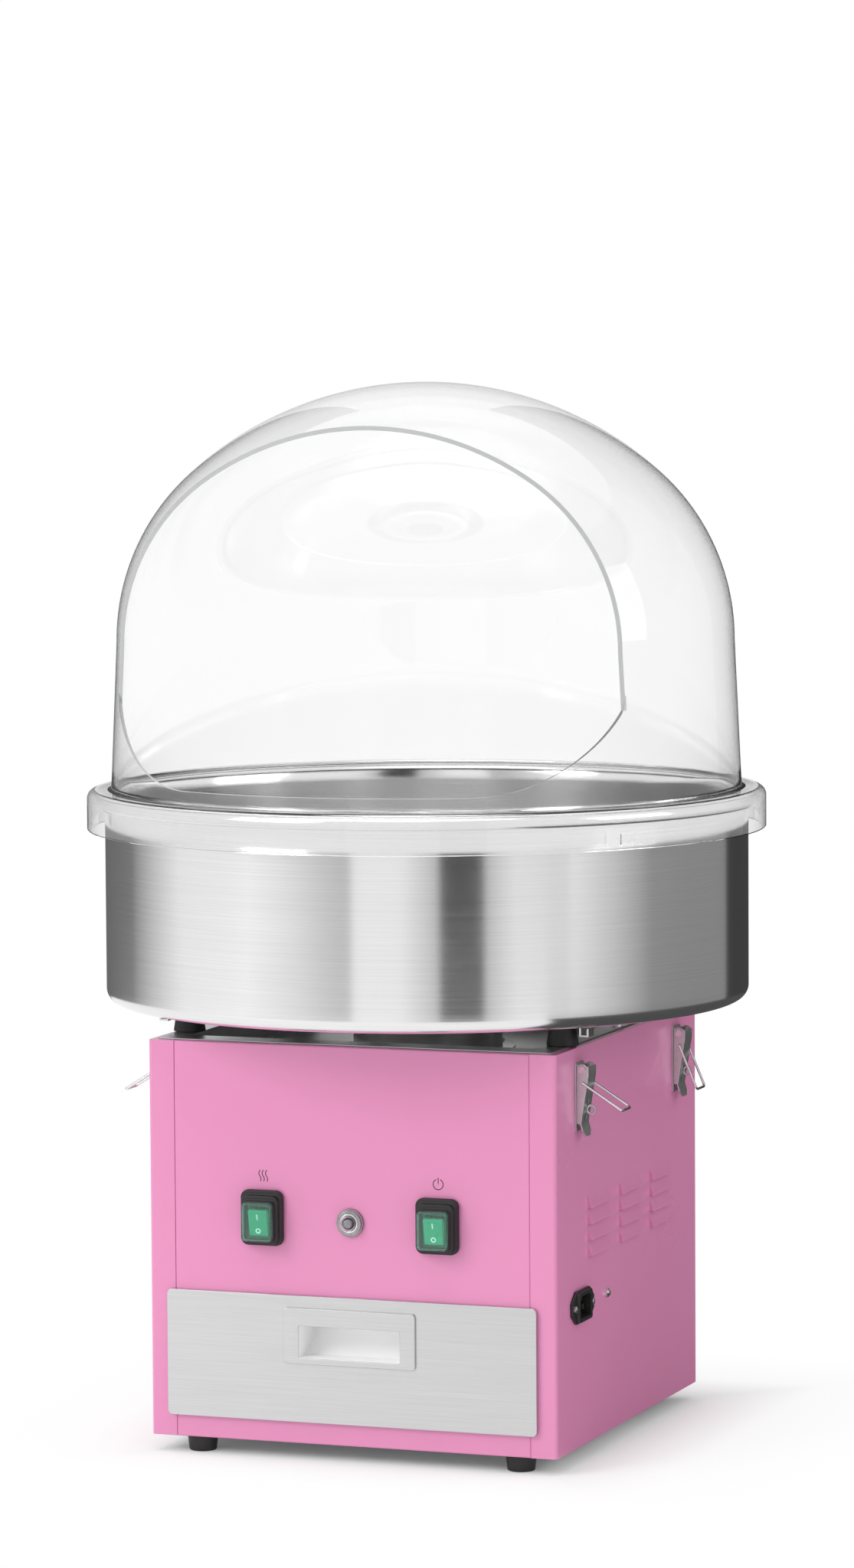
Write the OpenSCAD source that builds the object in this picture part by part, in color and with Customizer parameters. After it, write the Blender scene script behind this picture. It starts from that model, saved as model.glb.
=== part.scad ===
// Electric candy-floss machine: a painted sheet-metal cabinet with a drawer, a
// spinning heated head in a steel bowl, and a clear dome with an open front.
// Millimetres. The origin is on the floor under the axis of the spinning head,
// +Z up, with the front of the machine towards -Y.

/* [Cabinet] */
// Distance from the drawer box to each side of the cabinet
drawer_side = 31; // [28:1:36]
// Depth of the cabinet from front to back
cabinet_d = 344; // [336:1:360]
// Height of the painted sheet metal, without the feet
cabinet_h = 306; // [298:1:340]
// Thickness of the painted sheet
sheet_t = 1.5; // [1.2:0.1:2]
// Outer radius of the bends in the sheet
bend_r = 3; // [2.5:0.5:5]
// Width of the strip of each side panel that wraps round onto front and back
wrap_w = 21; // [18:1:26]
// Width of the lip that the panels turn in under the tray
top_lip_w = 16; // [14:1:18]
// Width of the lip that the panels turn in above the base plate
bottom_lip_w = 26; // [24:1:28]
// Width of the joggled edge behind each wrapped strip
joggle_w = 15; // [10:1:17]

/* [Feet] */
// Height of each rubber foot
foot_h = 13; // [10:1:20]
// Radius of a foot under the base plate
foot_r = 12; // [11:0.5:14]
// Radius of a foot at the floor
foot_tip_r = 10.5; // [8:0.5:11]
// Distance of each foot's middle in from the cabinet's side
foot_in_x = 35; // [30:1:50]
// Distance of each foot's middle in from the cabinet's front or back
foot_in_y = 18; // [16:1:24]
// Height of the screw's counterbore inside a foot
foot_recess_h = 7; // [4:1:9]

/* [Tray] */
// Thickness of the steel tray
tray_t = 1; // [0.8:0.1:1.5]
// Distance of the tray's rim in from the cabinet's faces
tray_inset = 5.5; // [4:0.5:6]
// Distance from the tray's basin to each side of the cabinet
basin_side = 23; // [22:1:26]
// Distance from the tray's basin to the cabinet's front and back
basin_end = 28; // [26:1:32]
// How far the basin sinks below the rim
basin_drop = 21; // [18:1:26]
// Corner radius of the basin
basin_r = 8; // [5:1:12]
// Radius of the hole in the middle of the basin
basin_hole_r = 46; // [44:1:48]

/* [Bowl supports] */
// Radius of a rubber support at the tray
post_r = 12.5; // [11:0.5:12.5]
// Radius of a rubber support at its top
post_top_r = 9.7; // [8:0.1:10.5]
// Height of a rubber support
post_h = 18.5; // [16:0.5:22]
// Distance of a support's middle in from the cabinet's side
post_in = 12.5; // [12:0.5:13]
// Distance of the supports from the middle across the depth
post_y = 119; // [112:1:122]
// Radius of the recess in a support's top
post_recess_r = 4.6; // [4.2:0.1:5.5]
// Depth of the recess in a support's top
post_recess_h = 10; // [6:1:12]

/* [Bowl] */
// Radius over the rolled rim
bowl_rim_r = 260; // [245:1:275]
// How far the rolled rim stands out from the wall
rim_out = 9; // [8:0.5:9]
// Height from the floor to the top of the rim
bowl_h = 162; // [140:1:190]
// Thickness of the bowl's steel
bowl_t = 1.2; // [1:0.1:2]
// Radius of the rolled rim's section
bead_r = 4.75; // [4.5:0.25:5]
// Outer radius of the bend between floor and wall
bowl_corner_r = 10; // [6:1:16]
// Radius of the hole that the head stands in
bowl_hole_r = 88; // [84:1:96]
// Height of the collar round that hole
collar_h = 12; // [8:1:16]

/* [Bowl hooks] */
// Width of a hook under the bowl
hook_w = 13; // [10:1:15]
// Thickness of a hook
hook_t = 1.5; // [1.2:0.1:2]
// Gap inside a hook
hook_gap = 4.5; // [3.5:0.5:5]
// Height of a hook's turned-up tip
hook_tip_h = 6.5; // [5:0.5:7]

/* [Dome] */
// Gap between the bowl's rim and the skirt round it
skirt_gap = 2; // [1.5:0.5:5]
// Depth of the skirt below the ledge that rests on the rim
skirt_h = 28; // [22:1:34]
// Thickness of the clear plastic
dome_t = 3; // [2.5:0.1:3.5]
// Outer radius of the shoulder's edge
shoulder_r = 7; // [5:1:9]
// Width of the shoulder between the skirt and the wall
shoulder_w = 19.2; // [18:0.1:21]
// How far the wall leans in before it begins to curve
dome_lean = 5.2; // [4:0.1:7]
// Height at which the wall begins to curve in
dome_wall_h = 146; // [135:1:155]
// Distance from the axis to the middle of the side's curve
dome_arc_x = 65.6; // [60:0.1:75]
// How much further the crown rises than the radius of that curve
dome_crown = 25; // [22:1:32]
// Distance of the flat opening in front of the axis
opening_y = 127.5; // [118:0.5:140]
// Height of the opening's lower edge from the bottom of the skirt
opening_sill = 41; // [38:1:50]
// Radius of the opening's lower corners
opening_r = 95; // [85:1:105]

/* [Spinning head] */
// Radius of the head's drum
drum_r = 62.5; // [60:0.5:64]
// Height of the head's drum
drum_h = 36; // [33:1:40]
// Thickness of the drum's wall
drum_t = 1.5; // [1.2:0.1:2]
// Height of the drum's lower edge above the tray's rim
drum_lift = 9; // [8.5:0.5:11]
// Radius at the foot of the cone
cone_r = 49.5; // [48:0.5:51]
// Radius of the opening at the top of the cone
cone_top_r = 27.5; // [24:0.5:30]
// Height of the cone
cone_h = 18.5; // [15:0.5:24]
// Thickness of the cone
cone_t = 1.2; // [1:0.1:1.5]
// Gap between drum and base disc that the floss leaves through
floss_gap = 0.7; // [0.5:0.1:1]
// Thickness of the black base disc
disc_t = 3; // [2.5:0.5:4]
// Number of screws round the head
head_screw_count = 4; // [3:1:6]
// Angle of the first screw
head_screw_angle = 40; // [0:1:90]

/* [Fins on the head] */
// Number of fins
fin_count = 3; // [2:1:4]
// How far a fin stands out from the drum
fin_reach = 17; // [12:0.5:18]
// Thickness of a fin
fin_t = 1.2; // [1:0.1:1.6]
// Slope of a fin
fin_tilt = 25; // [15:1:35]
// Angle of the first fin
fin_angle = 16; // [0:1:60]
// Height of the fins' middle above the drum's lower edge
fin_rise = 19; // [17:1:20]

/* [Guard ring] */
// Radius of the guard ring under the head
guard_r = 58.5; // [57:0.5:60]
// Thickness of the guard ring
guard_t = 1.2; // [1:0.1:1.5]
// Width of the guard ring's foot flange
guard_flange_w = 10; // [9:0.5:11]
// Width of the notch in the guard ring's upper edge
notch_w = 20; // [14:1:26]
// Depth of that notch
notch_h = 8.5; // [6:0.5:11]
// Direction in which the notch faces
notch_angle = -103; // [-130:1:-70]

/* [Motor] */
// Radius of the motor
motor_r = 46; // [42:1:48]
// Length of the motor
motor_h = 84; // [76:1:90]
// Thickness of the motor's housing
motor_wall = 10; // [8:1:12]
// Radius of the shaft
shaft_r = 5; // [4:0.5:6]
// Radius of the rotor
rotor_r = 34; // [28:1:34]
// Radius of the plate that carries the motor
bracket_r = 72; // [70:1:74]
// Thickness of the plate that carries the motor
bracket_t = 3; // [2:0.5:4]
// Length of the legs between that plate and the tray
leg_h = 8; // [7:1:10]
// Distance of the legs from the axis
leg_ring_r = 62.5; // [62:0.5:63]

/* [Drawer] */
// How far the steel drawer front stands past the drawer box at each side
front_over = 16; // [12:1:18]
// Height of the steel drawer front
front_h = 97.5; // [92:0.5:104]
// Height of the drawer front's lower edge above the cabinet's lower edge
front_rise = 17; // [14:1:20]
// Thickness of the drawer front with its folded edge
front_t = 3.5; // [3:0.5:5]
// Thickness of the drawer's sheet
drawer_t = 1.2; // [1:0.1:1.5]
// Corner radius of the drawer front
front_r = 4; // [3:0.5:6]
// Width of the drawer box
drawer_w = 268; // [250:1:290]
// Height of the drawer box
drawer_h = 78; // [70:1:82]
// Depth of the drawer box from front to back
drawer_d = 300; // [260:1:305]
// Radius of the drawer box's upright corners
drawer_corner_r = 3; // [2:0.5:5]

/* [Drawer handle] */
// Width of the raised handle plate
handle_w = 107; // [98:1:116]
// Height of the raised handle plate
handle_h = 43; // [39:1:48]
// Height of the handle plate's middle above the drawer front's middle
handle_rise = 18; // [12:1:22]
// How far the handle plate stands proud
handle_t = 2; // [1.5:0.5:3]
// Width of the finger opening
grip_w = 82; // [70:1:86]
// Height of the finger opening
grip_h = 24.5; // [21:0.5:25]
// Depth of the finger scoop at its top
scoop_d = 33; // [32:1:36]
// Depth at which the scoop's back begins to curve
scoop_flat = 7; // [5:0.5:7]
// Height of the finger opening's middle below the plate's middle
grip_drop = 4.5; // [2:0.5:5]

/* [Switches] */
// Distance of each switch from the middle
switch_x = 71; // [60:1:90]
// Height of the switches above the drawer front's upper edge
switch_rise = 58.5; // [55:0.5:70]
// Width of the rubber surround
surround_w = 34; // [33:0.5:38]
// Height of the rubber surround
surround_h = 42.5; // [42:0.5:46]
// Height of the surround's first step
step_one_t = 5; // [4:0.5:6]
// Height of the surround's second step
step_two_t = 9; // [7.5:0.5:9.5]
// Height of the surround's third step
step_three_t = 12; // [11:0.5:13]
// Difference in width from one step to the next
step_w = 4; // [3:0.5:4]
// Difference in height from one step to the next
step_h = 5.5; // [4.5:0.5:5.5]
// How far the switch sits below the middle of its surround
switch_sink = 2; // [1:0.25:2]
// Width of the clear cap
cap_w = 24; // [23:0.5:25]
// Height of the clear cap
cap_h = 29.5; // [29:0.5:30]
// Thickness of the clear cap
cap_t = 1; // [0.8:0.1:1.2]
// How far the cap stands above the surround
cap_rise = 4.5; // [4:0.5:6]
// Width of the rocker
rocker_w = 15; // [13:0.5:15]
// Height of the rocker's face
rocker_h = 20; // [18:0.5:20]
// Distance of the rocker's face in front of its pivot
rocker_face = 6.5; // [6:0.5:7]
// Angle of the rocker from its middle position
rocker_tilt = 12; // [8:1:13]
// Depth of the switch behind the panel
switch_d = 24; // [18:1:30]

/* [Reset button] */
// Height of the reset button above the drawer front's upper edge
reset_rise = 57.5; // [45:0.5:70]
// Radius of the knurled ring nut
nut_r = 11; // [9:0.5:13]
// Thickness of the knurled ring nut
nut_t = 4; // [3:0.5:5]
// Radius of the threaded bush behind the nut
bush_r = 5.5; // [5:0.25:6]
// Radius of the clear boot
boot_r = 6; // [5.5:0.25:7]
// Thickness of the clear boot
boot_t = 0.9; // [0.7:0.1:1.1]
// Radius of the button
button_r = 3.2; // [2.8:0.1:3.6]

/* [Mains inlet] */
// Distance of the inlet's middle in front of the cabinet's middle
inlet_y = 116; // [108:1:120]
// Height of the inlet below the cabinet's top
inlet_drop = 197.5; // [190:0.5:205]
// Length of the inlet's flange
inlet_w = 50; // [46:1:54]
// Height of the inlet's flange
inlet_h = 25; // [24:0.5:27]
// Thickness of the inlet's flange
inlet_t = 2.5; // [2:0.5:4]
// Height of the ends of the inlet's flange
inlet_end_h = 10; // [8:1:12]
// Width of the inlet's socket
socket_w = 25; // [24:0.5:26]
// Height of the inlet's socket
socket_h = 17; // [16:0.5:18]
// Depth of the inlet's socket
socket_d = 17; // [14:1:19]
// Thickness of the rim round the socket
socket_rim = 3; // [2:0.5:3.5]
// How far that rim stands above the flange
socket_rise = 2; // [1:0.5:3]
// Distance between the inlet's screws
inlet_pitch = 40; // [38:1:42]
// Distance of the earth screw in front of the cabinet's middle
earth_y = 55; // [45:1:65]

/* [Louvres] */
// Number of louvre columns
louvre_cols = 3; // [1:1:3]
// Number of louvres in a column
louvre_rows = 4; // [1:1:5]
// Length of a louvre
louvre_w = 46; // [38:1:50]
// Height of a louvre
louvre_h = 9.8; // [8:0.1:10.5]
// Height of a louvre's slot
louvre_slot = 5; // [3.5:0.5:6]
// How far a louvre stands out
louvre_out = 3.5; // [2.5:0.5:4.5]
// Distance from one louvre to the next below
louvre_pitch = 12.3; // [11.5:0.1:14]
// Distance from one column to the next
louvre_step = 75.5; // [70:0.5:80]
// Height of the top louvre below the cabinet's top
louvre_drop = 116; // [105:1:120]

/* [Latches] */
// Distance of each latch from the middle across the depth
latch_y = 119; // [112:1:122]
// Height of a latch's base plate
latch_h = 52; // [50:1:54]
// Thickness of a latch's steel
latch_t = 1.2; // [1:0.1:1.3]
// Width over a latch's lever
lever_w = 18; // [17:0.5:20]
// Distance of a latch's top below the cabinet's top
latch_drop = 11; // [11:0.5:14]
// Radius of a latch's pivot pin
pivot_r = 1.5; // [1.4:0.1:1.7]
// Distance of the pivot pin from the panel
pivot_out = 6; // [6:0.1:6.5]
// Distance of the pivot pin below the latch's top
pivot_drop = 5; // [5:0.5:6]
// Distance from the pivot pin down to the bail's eye
bail_drop = 10; // [10:0.5:11]
// Radius of the bail's wire
wire_r = 1; // [0.8:0.1:1.1]
// Angle of the front bails below level
bail_front_angle = 32; // [28:1:36]
// Angle of the rear bails below level
bail_rear_angle = 67; // [60:1:68]
// Length of a bail from its eye to its bar
bail_len = 37; // [35:0.5:38]
// Radius of the padlock eye
eye_r = 4; // [3.5:0.25:4.5]

/* [Runners] */
// Height of a drawer runner above the bottom lip
runner_h = 40; // [30:1:50]
// Width of the shelf that the drawer slides on
shelf_w = 14; // [10:1:18]
// Height of that shelf above the bottom lip
shelf_rise = 22; // [18:1:24]

/* [Fasteners] */
// Radius of the head of an M4 screw
screw_head_r = 3.8; // [3.5:0.1:4.2]
// Height of the head of an M4 screw
screw_head_h = 2.2; // [2:0.1:2.5]
// Radius of the thread of an M4 screw
screw_r = 2; // [1.9:0.1:2.2]
// Radius of the head of an M3 screw
small_head_r = 2.7; // [2.4:0.1:3]
// Height of the head of an M3 screw
small_head_h = 1.8; // [1.5:0.1:2]
// Radius of the thread of an M3 screw
small_screw_r = 1.5; // [1.4:0.1:1.6]

/* [Hidden] */
$fn = 72;

// Length by which a cut runs past what it cuts
over = 1;
// Gap between fixed pieces that slip into each other
slip = 0.3;
// Radial clearance of a pin or a shaft in its hole
fit = 0.05;
// Gap that a sliding or turning piece keeps from its neighbours
run = 0.3;

// Width of the cabinet, its levels, and the places of its feet
cabinet_w = drawer_w + 2 * drawer_side;
cab_bottom = foot_h;
cab_top = cab_bottom + cabinet_h;
seam_x = cabinet_w / 2 - wrap_w;
side_x = cabinet_w / 2;
front_y = cabinet_d / 2;
lip_z = cab_bottom + sheet_t;
lip_x = side_x - bottom_lip_w;
foot_x = side_x - foot_in_x;
foot_y = front_y - foot_in_y;
post_x = side_x - post_in;

// Basin and levels of the tray
basin_w = cabinet_w - 2 * basin_side;
basin_d = cabinet_d - 2 * basin_end;
tray_z = cab_top + tray_t;
basin_z = tray_z - basin_drop;
tray_screw_x = side_x - (top_lip_w + tray_inset) / 2;
tray_screw_y = 7;

// Wall and levels of the bowl
bowl_wall_r = bowl_rim_r - rim_out;
bowl_z = tray_z + post_h + run;
rim_z = bowl_z + bowl_h;

// Levels and curves of the dome
dome_z = rim_z + run - skirt_h;
skirt_r = bowl_rim_r + skirt_gap + dome_t;
dome_foot_r = skirt_r - shoulder_w;
dome_wall_r = dome_foot_r - dome_lean;
dome_side_r = dome_wall_r - dome_arc_x;
dome_rise = dome_side_r + dome_crown;
dome_h = dome_wall_h + dome_rise;
dome_top_r = (dome_arc_x * dome_arc_x + dome_rise * dome_rise
    - dome_side_r * dome_side_r) / (2 * (dome_rise - dome_side_r));
dome_top_z = dome_h - dome_top_r;
opening_w = 2 * sqrt(dome_foot_r * dome_foot_r - opening_y * opening_y);
lug_w = 12;
lug_h = 8;
lug_t = 1.2;
lug_rise = 4;
lug_count = 3;
lug_angle = -35;

// Levels of the head
drum_z = tray_z + drum_lift;
disc_z = drum_z - floss_gap - disc_t;
disc_r = drum_r - drum_t - run;
head_top = drum_z + drum_h;
column_r = 3.6;
column_inset = 1.2;
screw_ring_r = disc_r - column_r - column_inset;
hub_r = 14;
hub_low = 8;
hub_high = 10;
heater_ring_r = 44;
heater_wire_r = 1.6;
heater_post_r = 3.5;
heater_post_h = 10;
heater_post_count = 6;
heater_gap_angle = 20;
fin_z = drum_z + fin_rise;
fin_tab_t = 1.2;
fin_tab_w = 22;
fin_tab_h = 15;
fin_tab_x = 5;
fin_tab_z = -7;
fin_screw_pitch = 11;
fin_screw_z = -8;

// Levels of the motor
floor_low = basin_z - tray_t;
bracket_z = floor_low - leg_h - bracket_t;
motor_top = bracket_z;
motor_low = motor_top - motor_h;
bell_t = 8;
bearing_r = 11;
bearing_t = 6;
shaft_tail = 6;
motor_bolt_r = 38;
bracket_hole_r = 20;
leg_r = 5;
guard_gap = 0.8;
guard_top = disc_z - guard_gap;

// Slip rings and brushes
ring_r = 16;
ring_hub_r = 13;
ring_t = 4;
ring_rise = 5;
ring_z = basin_z + ring_rise;
ring_pitch = 7;
ring_hub_h = disc_z - hub_low - ring_z + ring_t / 2;
brush_w = 5;
brush_t = 3;
holder_x = 21;
holder_w = 20;
holder_d = 16;
holder_cap = 3;
holder_h = ring_z + ring_pitch + ring_t + holder_cap - (bracket_z + bracket_t);
brush_len = 18;

// Places on the front of the cabinet
front_top = cab_bottom + front_rise + front_h;
switch_z = front_top + switch_rise;
rocker_z = switch_z - switch_sink;
neck_t = 1.65;
well_w = rocker_w + 2 * run;
well_h = rocker_h + 8 * run;
well_d = 15;
neck_w = well_w + 2 * neck_t;
neck_h = well_h + 2 * neck_t;
neck_out = 8;
trunnion_r = 1.25;
pivot_in = 2;
pivot_y = neck_out - pivot_in;
surround_r = 6;
cap_r = 3;
body_w = 21;
body_h = 28;
blade_w = 6;
blade_t = 0.8;
blade_len = 9;
reset_z = front_top + reset_rise;
breaker_w = 15;
breaker_h = 32;
breaker_d = 26;
button_stand = 3.2;
button_out = nut_t + button_stand;
boot_wall_h = 1.5;
front_w = drawer_w + 2 * front_over;
front_z = cab_bottom + front_rise + front_h / 2;
handle_z = front_z + handle_rise;
grip_z = handle_z - grip_drop;
scoop_r = scoop_d - scoop_flat;
scoop_t = 1;
handle_r = 3;

// Drawer and its runners
drawer_z = lip_z + sheet_t + shelf_rise + run;
door_y = front_y + run + front_t;
box_y = door_y - drawer_t;
mouth_gap = 2.5;
runner_x = drawer_w / 2 + run;
runner_foot_w = 12;
runner_front = 16;
runner_end = 36;
runner_back = front_y - runner_end;
runner_len = runner_back + front_y - runner_front;

// Places on the sides of the cabinet
inlet_z = cab_top - inlet_drop;
inlet_rim_w = socket_w + 2 * socket_rim;
inlet_rim_h = socket_h + 2 * socket_rim;
inlet_body_d = 25;
socket_chamfer = 4;
pin_w = 4;
pin_t = 2;
pin_len = 14;
pin_y = 7;
pin_z = 2;
earth_z = inlet_z;
earth_r = 3.6;
earth_h = 3;
louvre_z = cab_top - louvre_drop;

// Latches, measured from the panel's face
latch_z = cab_top - latch_drop;
pivot_z = latch_z - pivot_drop;
bail_step = 0.5;
bail_out = pivot_out + bail_step;
bail_z = pivot_z - bail_drop;
barrel_r = pivot_out - latch_t - 1.5 * run;
lever_top_out = 11;
lever_low_out = 5;
lever_len = 41;
lever_tip = 10;
lever_tip_out = 3;
ear_y = lever_w / 2 - latch_t - run;
ear_r = 3.4;
eye_drop = 31;
eye_out = 10;
eye_hole_r = 2.4;
eye_stem_h = 5;
tip_corner = 6;
slot_w = 3;
slot_h = 16;
hook_inner = bail_out - hook_gap / 2;
hook_root = post_x + post_top_r + 2 * run - side_x;
hook_drop = bowl_z - (bail_z + bail_len) + wire_r + hook_t;
bail_y = lever_w / 2 + run + wire_r;
bail_bend_r = 3;
rivet_r = 1.6;
rivet_head_r = 2.6;
rivet_head_h = 0.9;
rivet_drop_one = 20;
rivet_drop_two = 46;

// Back of the cabinet
back_slot_w = 3;
back_slot_h = 46;
back_slot_step = 12;
back_slot_count = 9;
back_slot_drop = 110;
back_slot_z = cab_top - back_slot_drop;
back_screw_inset = 24;

// Slots in the base plate
base_slot_l = 90;
base_slot_w = 4;
base_slot_step = 14;
base_slot_count = 7;

// Wires: radius, and the heights and depths of their runs
lead_r = 1.5;
lead_back = 46;
lead_rise = 26;
lead_drop = 6;
lead_y = lead_back - front_y;
lead_z = switch_z + lead_rise;

// Outlines and small helpers

// Rectangle with rounded corners, centred
module rrect(w, h, r) {
    square([w - 2 * r, h], center = true);
    square([w, h - 2 * r], center = true);
    for (sx = [-1, 1], sy = [-1, 1])
        translate([sx * (w / 2 - r), sy * (h / 2 - r)]) circle(r);
}

// Slab that grows towards the front from depth y
module forward(y, t) {
    translate([0, y, 0]) rotate([90, 0, 0]) linear_extrude(t) children();
}

// Slab that grows towards the right from distance x; outline in Y and Z
module rightward(x, t) {
    translate([x, 0, 0]) rotate([90, 0, 90]) linear_extrude(t) children();
}

// Slab centred on its place and running from front to back; outline in X and Z
module along_y(w) {
    rotate([90, 0, 0]) linear_extrude(w, center = true) children();
}

// Flat ring
module ring(r_out, r_in, h) {
    linear_extrude(h) difference() {
        circle(r_out);
        circle(r_in);
    }
}

module four_corners(x, y) {
    for (sx = [-1, 1], sy = [-1, 1]) translate([sx * x, sy * y, 0]) children();
}

module around(count, first) {
    for (i = [0 : count - 1]) rotate([0, 0, first + i * 360 / count]) children();
}

// Pan-head screw along +Z, with its head's underside at the origin
module pan_screw(head_r, head_h, r, len) {
    difference() {
        union() {
            cylinder(r = head_r, h = head_h * 2 / 3);
            translate([0, 0, head_h * 2 / 3])
                cylinder(r1 = head_r, r2 = head_r * 2 / 3, h = head_h / 3);
        }
        for (a = [0, 90]) rotate([0, 0, a])
            translate([-head_r * 2 / 3, -r / 4, head_h / 2])
                cube([head_r * 4 / 3, r / 2, head_h]);
    }
    translate([0, 0, -len]) cylinder(r = r, h = len);
}

// Cabinet

// Plan of the cabinet, drawn in by an inset
module cabinet_plan(inset) {
    rrect(cabinet_w - 2 * inset, cabinet_d - 2 * inset, bend_r - min(inset, bend_r / 2));
}

// Folded skin of the whole cabinet, before it is parted at the seams
module cabinet_skin() {
    translate([0, 0, cab_bottom]) linear_extrude(cabinet_h) difference() {
        cabinet_plan(0);
        cabinet_plan(sheet_t);
    }
    translate([0, 0, cab_top - sheet_t]) linear_extrude(sheet_t) difference() {
        cabinet_plan(0);
        square([cabinet_w - 2 * top_lip_w, cabinet_d - 2 * top_lip_w], center = true);
    }
}

// One louvre hood on the right-hand face, with its top at height z
module louvre_hood(y, z) {
    translate([side_x, y, z]) difference() {
        along_y(louvre_w)
            polygon([[-sheet_t / 2, 0], [0, 0], [louvre_out, louvre_slot - louvre_h],
                [louvre_out, -louvre_h], [-sheet_t / 2, -louvre_h]]);
        along_y(louvre_w - 2 * sheet_t)
            polygon([[-sheet_t, -sheet_t * 2], [louvre_out - sheet_t, louvre_slot
                - louvre_h - sheet_t / 2], [louvre_out - sheet_t, -louvre_h - over],
                [-sheet_t, -louvre_h - over]]);
    }
}

module each_louvre() {
    for (i = [0 : louvre_cols - 1], k = [0 : louvre_rows - 1])
        translate([0, (i - (louvre_cols - 1) / 2) * louvre_step, louvre_z - k * louvre_pitch])
            children();
}

module latch_rivet_places() {
    for (sy = [-1, 1], d = [rivet_drop_one, rivet_drop_two])
        translate([side_x, sy * latch_y, latch_z - d]) children();
}

// Side panel on the right, without the inlet's cut-outs
module side_panel() {
    difference() {
        union() {
            intersection() {
                cabinet_skin();
                translate([seam_x, -cabinet_d, 0]) cube([cabinet_w, 2 * cabinet_d, cab_top]);
            }
            translate([lip_x, sheet_t - front_y, lip_z])
                cube([bottom_lip_w - sheet_t, cabinet_d - 2 * sheet_t, sheet_t]);
            each_louvre() louvre_hood(0, 0);
        }
        each_louvre() translate([side_x - sheet_t - over, sheet_t - louvre_w / 2, -louvre_h])
            cube([sheet_t + over, louvre_w - 2 * sheet_t, louvre_slot]);
        latch_rivet_places() rotate([0, 90, 0])
            cylinder(r = rivet_r + fit, h = 4 * sheet_t, center = true);
        for (y = [-post_y, post_y]) translate([post_x, y, cab_top])
            cylinder(r = screw_r + fit, h = 4 * sheet_t, center = true);
        translate([tray_screw_x, tray_screw_y, cab_top])
            cylinder(r = screw_r + fit, h = 4 * sheet_t, center = true);
        back_screw_places() rotate([-90, 0, 0])
            cylinder(r = screw_r + fit, h = 4 * sheet_t, center = true);
    }
}

module inlet_outline(gap) {
    square([inlet_rim_w - socket_rim + 2 * gap, inlet_rim_h - socket_rim + 2 * gap],
        center = true);
}

module side_panel_right() {
    color("hotpink") difference() {
        side_panel();
        rightward(side_x - sheet_t - over, sheet_t + 2 * over)
            translate([-inlet_y, inlet_z]) inlet_outline(slip);
        for (s = [-1, 1])
            translate([side_x, s * inlet_pitch / 2 - inlet_y, inlet_z]) rotate([0, 90, 0])
                cylinder(r = small_screw_r + fit, h = 4 * sheet_t, center = true);
        translate([side_x, -earth_y, earth_z]) rotate([0, 90, 0])
            cylinder(r = screw_r + fit, h = 4 * sheet_t, center = true);
    }
}

module side_panel_left() {
    color("hotpink") mirror([1, 0, 0]) side_panel();
}

// Front or back wall between the seams, with its joggled edges; s is -1 in front
module face_panel(s) {
    intersection() {
        cabinet_skin();
        translate([-seam_x, s < 0 ? -cabinet_d : 0, 0]) cube([2 * seam_x, cabinet_d, cab_top]);
    }
    translate([0, s * (front_y - (bottom_lip_w + sheet_t) / 2), lip_z + sheet_t / 2])
        cube([2 * (lip_x - slip), bottom_lip_w - sheet_t, sheet_t], center = true);
    for (sx = [-1, 1])
        translate([sx * (seam_x + (joggle_w - sheet_t) / 2), s * (front_y - sheet_t * 3 / 2),
            (cab_top + lip_z) / 2])
            cube([joggle_w + sheet_t, sheet_t, cab_top - lip_z - 4 * sheet_t], center = true);
}

module front_panel() {
    color("hotpink") difference() {
        face_panel(-1);
        for (sx = [-1, 1]) forward(over - front_y + sheet_t, sheet_t + 2 * over)
            translate([sx * switch_x, rocker_z]) square([neck_w + slip, neck_h + slip],
                center = true);
        forward(over - front_y + sheet_t, sheet_t + 2 * over)
            translate([0, reset_z]) circle(bush_r + fit);
        translate([-drawer_w / 2 - mouth_gap, -front_y - over, drawer_z - mouth_gap])
            cube([drawer_w + 2 * mouth_gap, 3 * sheet_t + 2 * over,
                drawer_h + 2 * mouth_gap]);
        for (sx = [-1, 1]) translate([sx * foot_x, -foot_y, lip_z])
            cylinder(r = screw_r + fit, h = 4 * sheet_t, center = true);
    }
}

module back_screw_places() {
    for (z = [cab_bottom + back_screw_inset, (cab_bottom + cab_top) / 2,
            cab_top - back_screw_inset])
        translate([(side_x + seam_x) / 2, front_y, z]) children();
}

module back_panel() {
    color("hotpink") difference() {
        face_panel(1);
        for (i = [0 : back_slot_count - 1])
            translate([(i - (back_slot_count - 1) / 2) * back_slot_step, front_y, back_slot_z])
                cube([back_slot_w, 4 * sheet_t, back_slot_h], center = true);
        for (m = [0, 1]) mirror([m, 0, 0]) back_screw_places() rotate([-90, 0, 0])
            cylinder(r = screw_r + fit, h = 8 * sheet_t, center = true);
        for (sx = [-1, 1]) translate([sx * foot_x, foot_y, lip_z])
            cylinder(r = screw_r + fit, h = 4 * sheet_t, center = true);
    }
}

module base_plate() {
    color("silver") translate([0, 0, cab_bottom]) linear_extrude(sheet_t) difference() {
        rrect(cabinet_w - 2 * sheet_t - slip, cabinet_d - 2 * sheet_t - slip, bend_r);
        for (i = [0 : base_slot_count - 1])
            translate([0, (i - (base_slot_count - 1) / 2) * base_slot_step])
                square([base_slot_l, base_slot_w], center = true);
        for (sx = [-1, 1], sy = [-1, 1]) translate([sx * foot_x, sy * foot_y])
            circle(screw_r + fit);
    }
}

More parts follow.
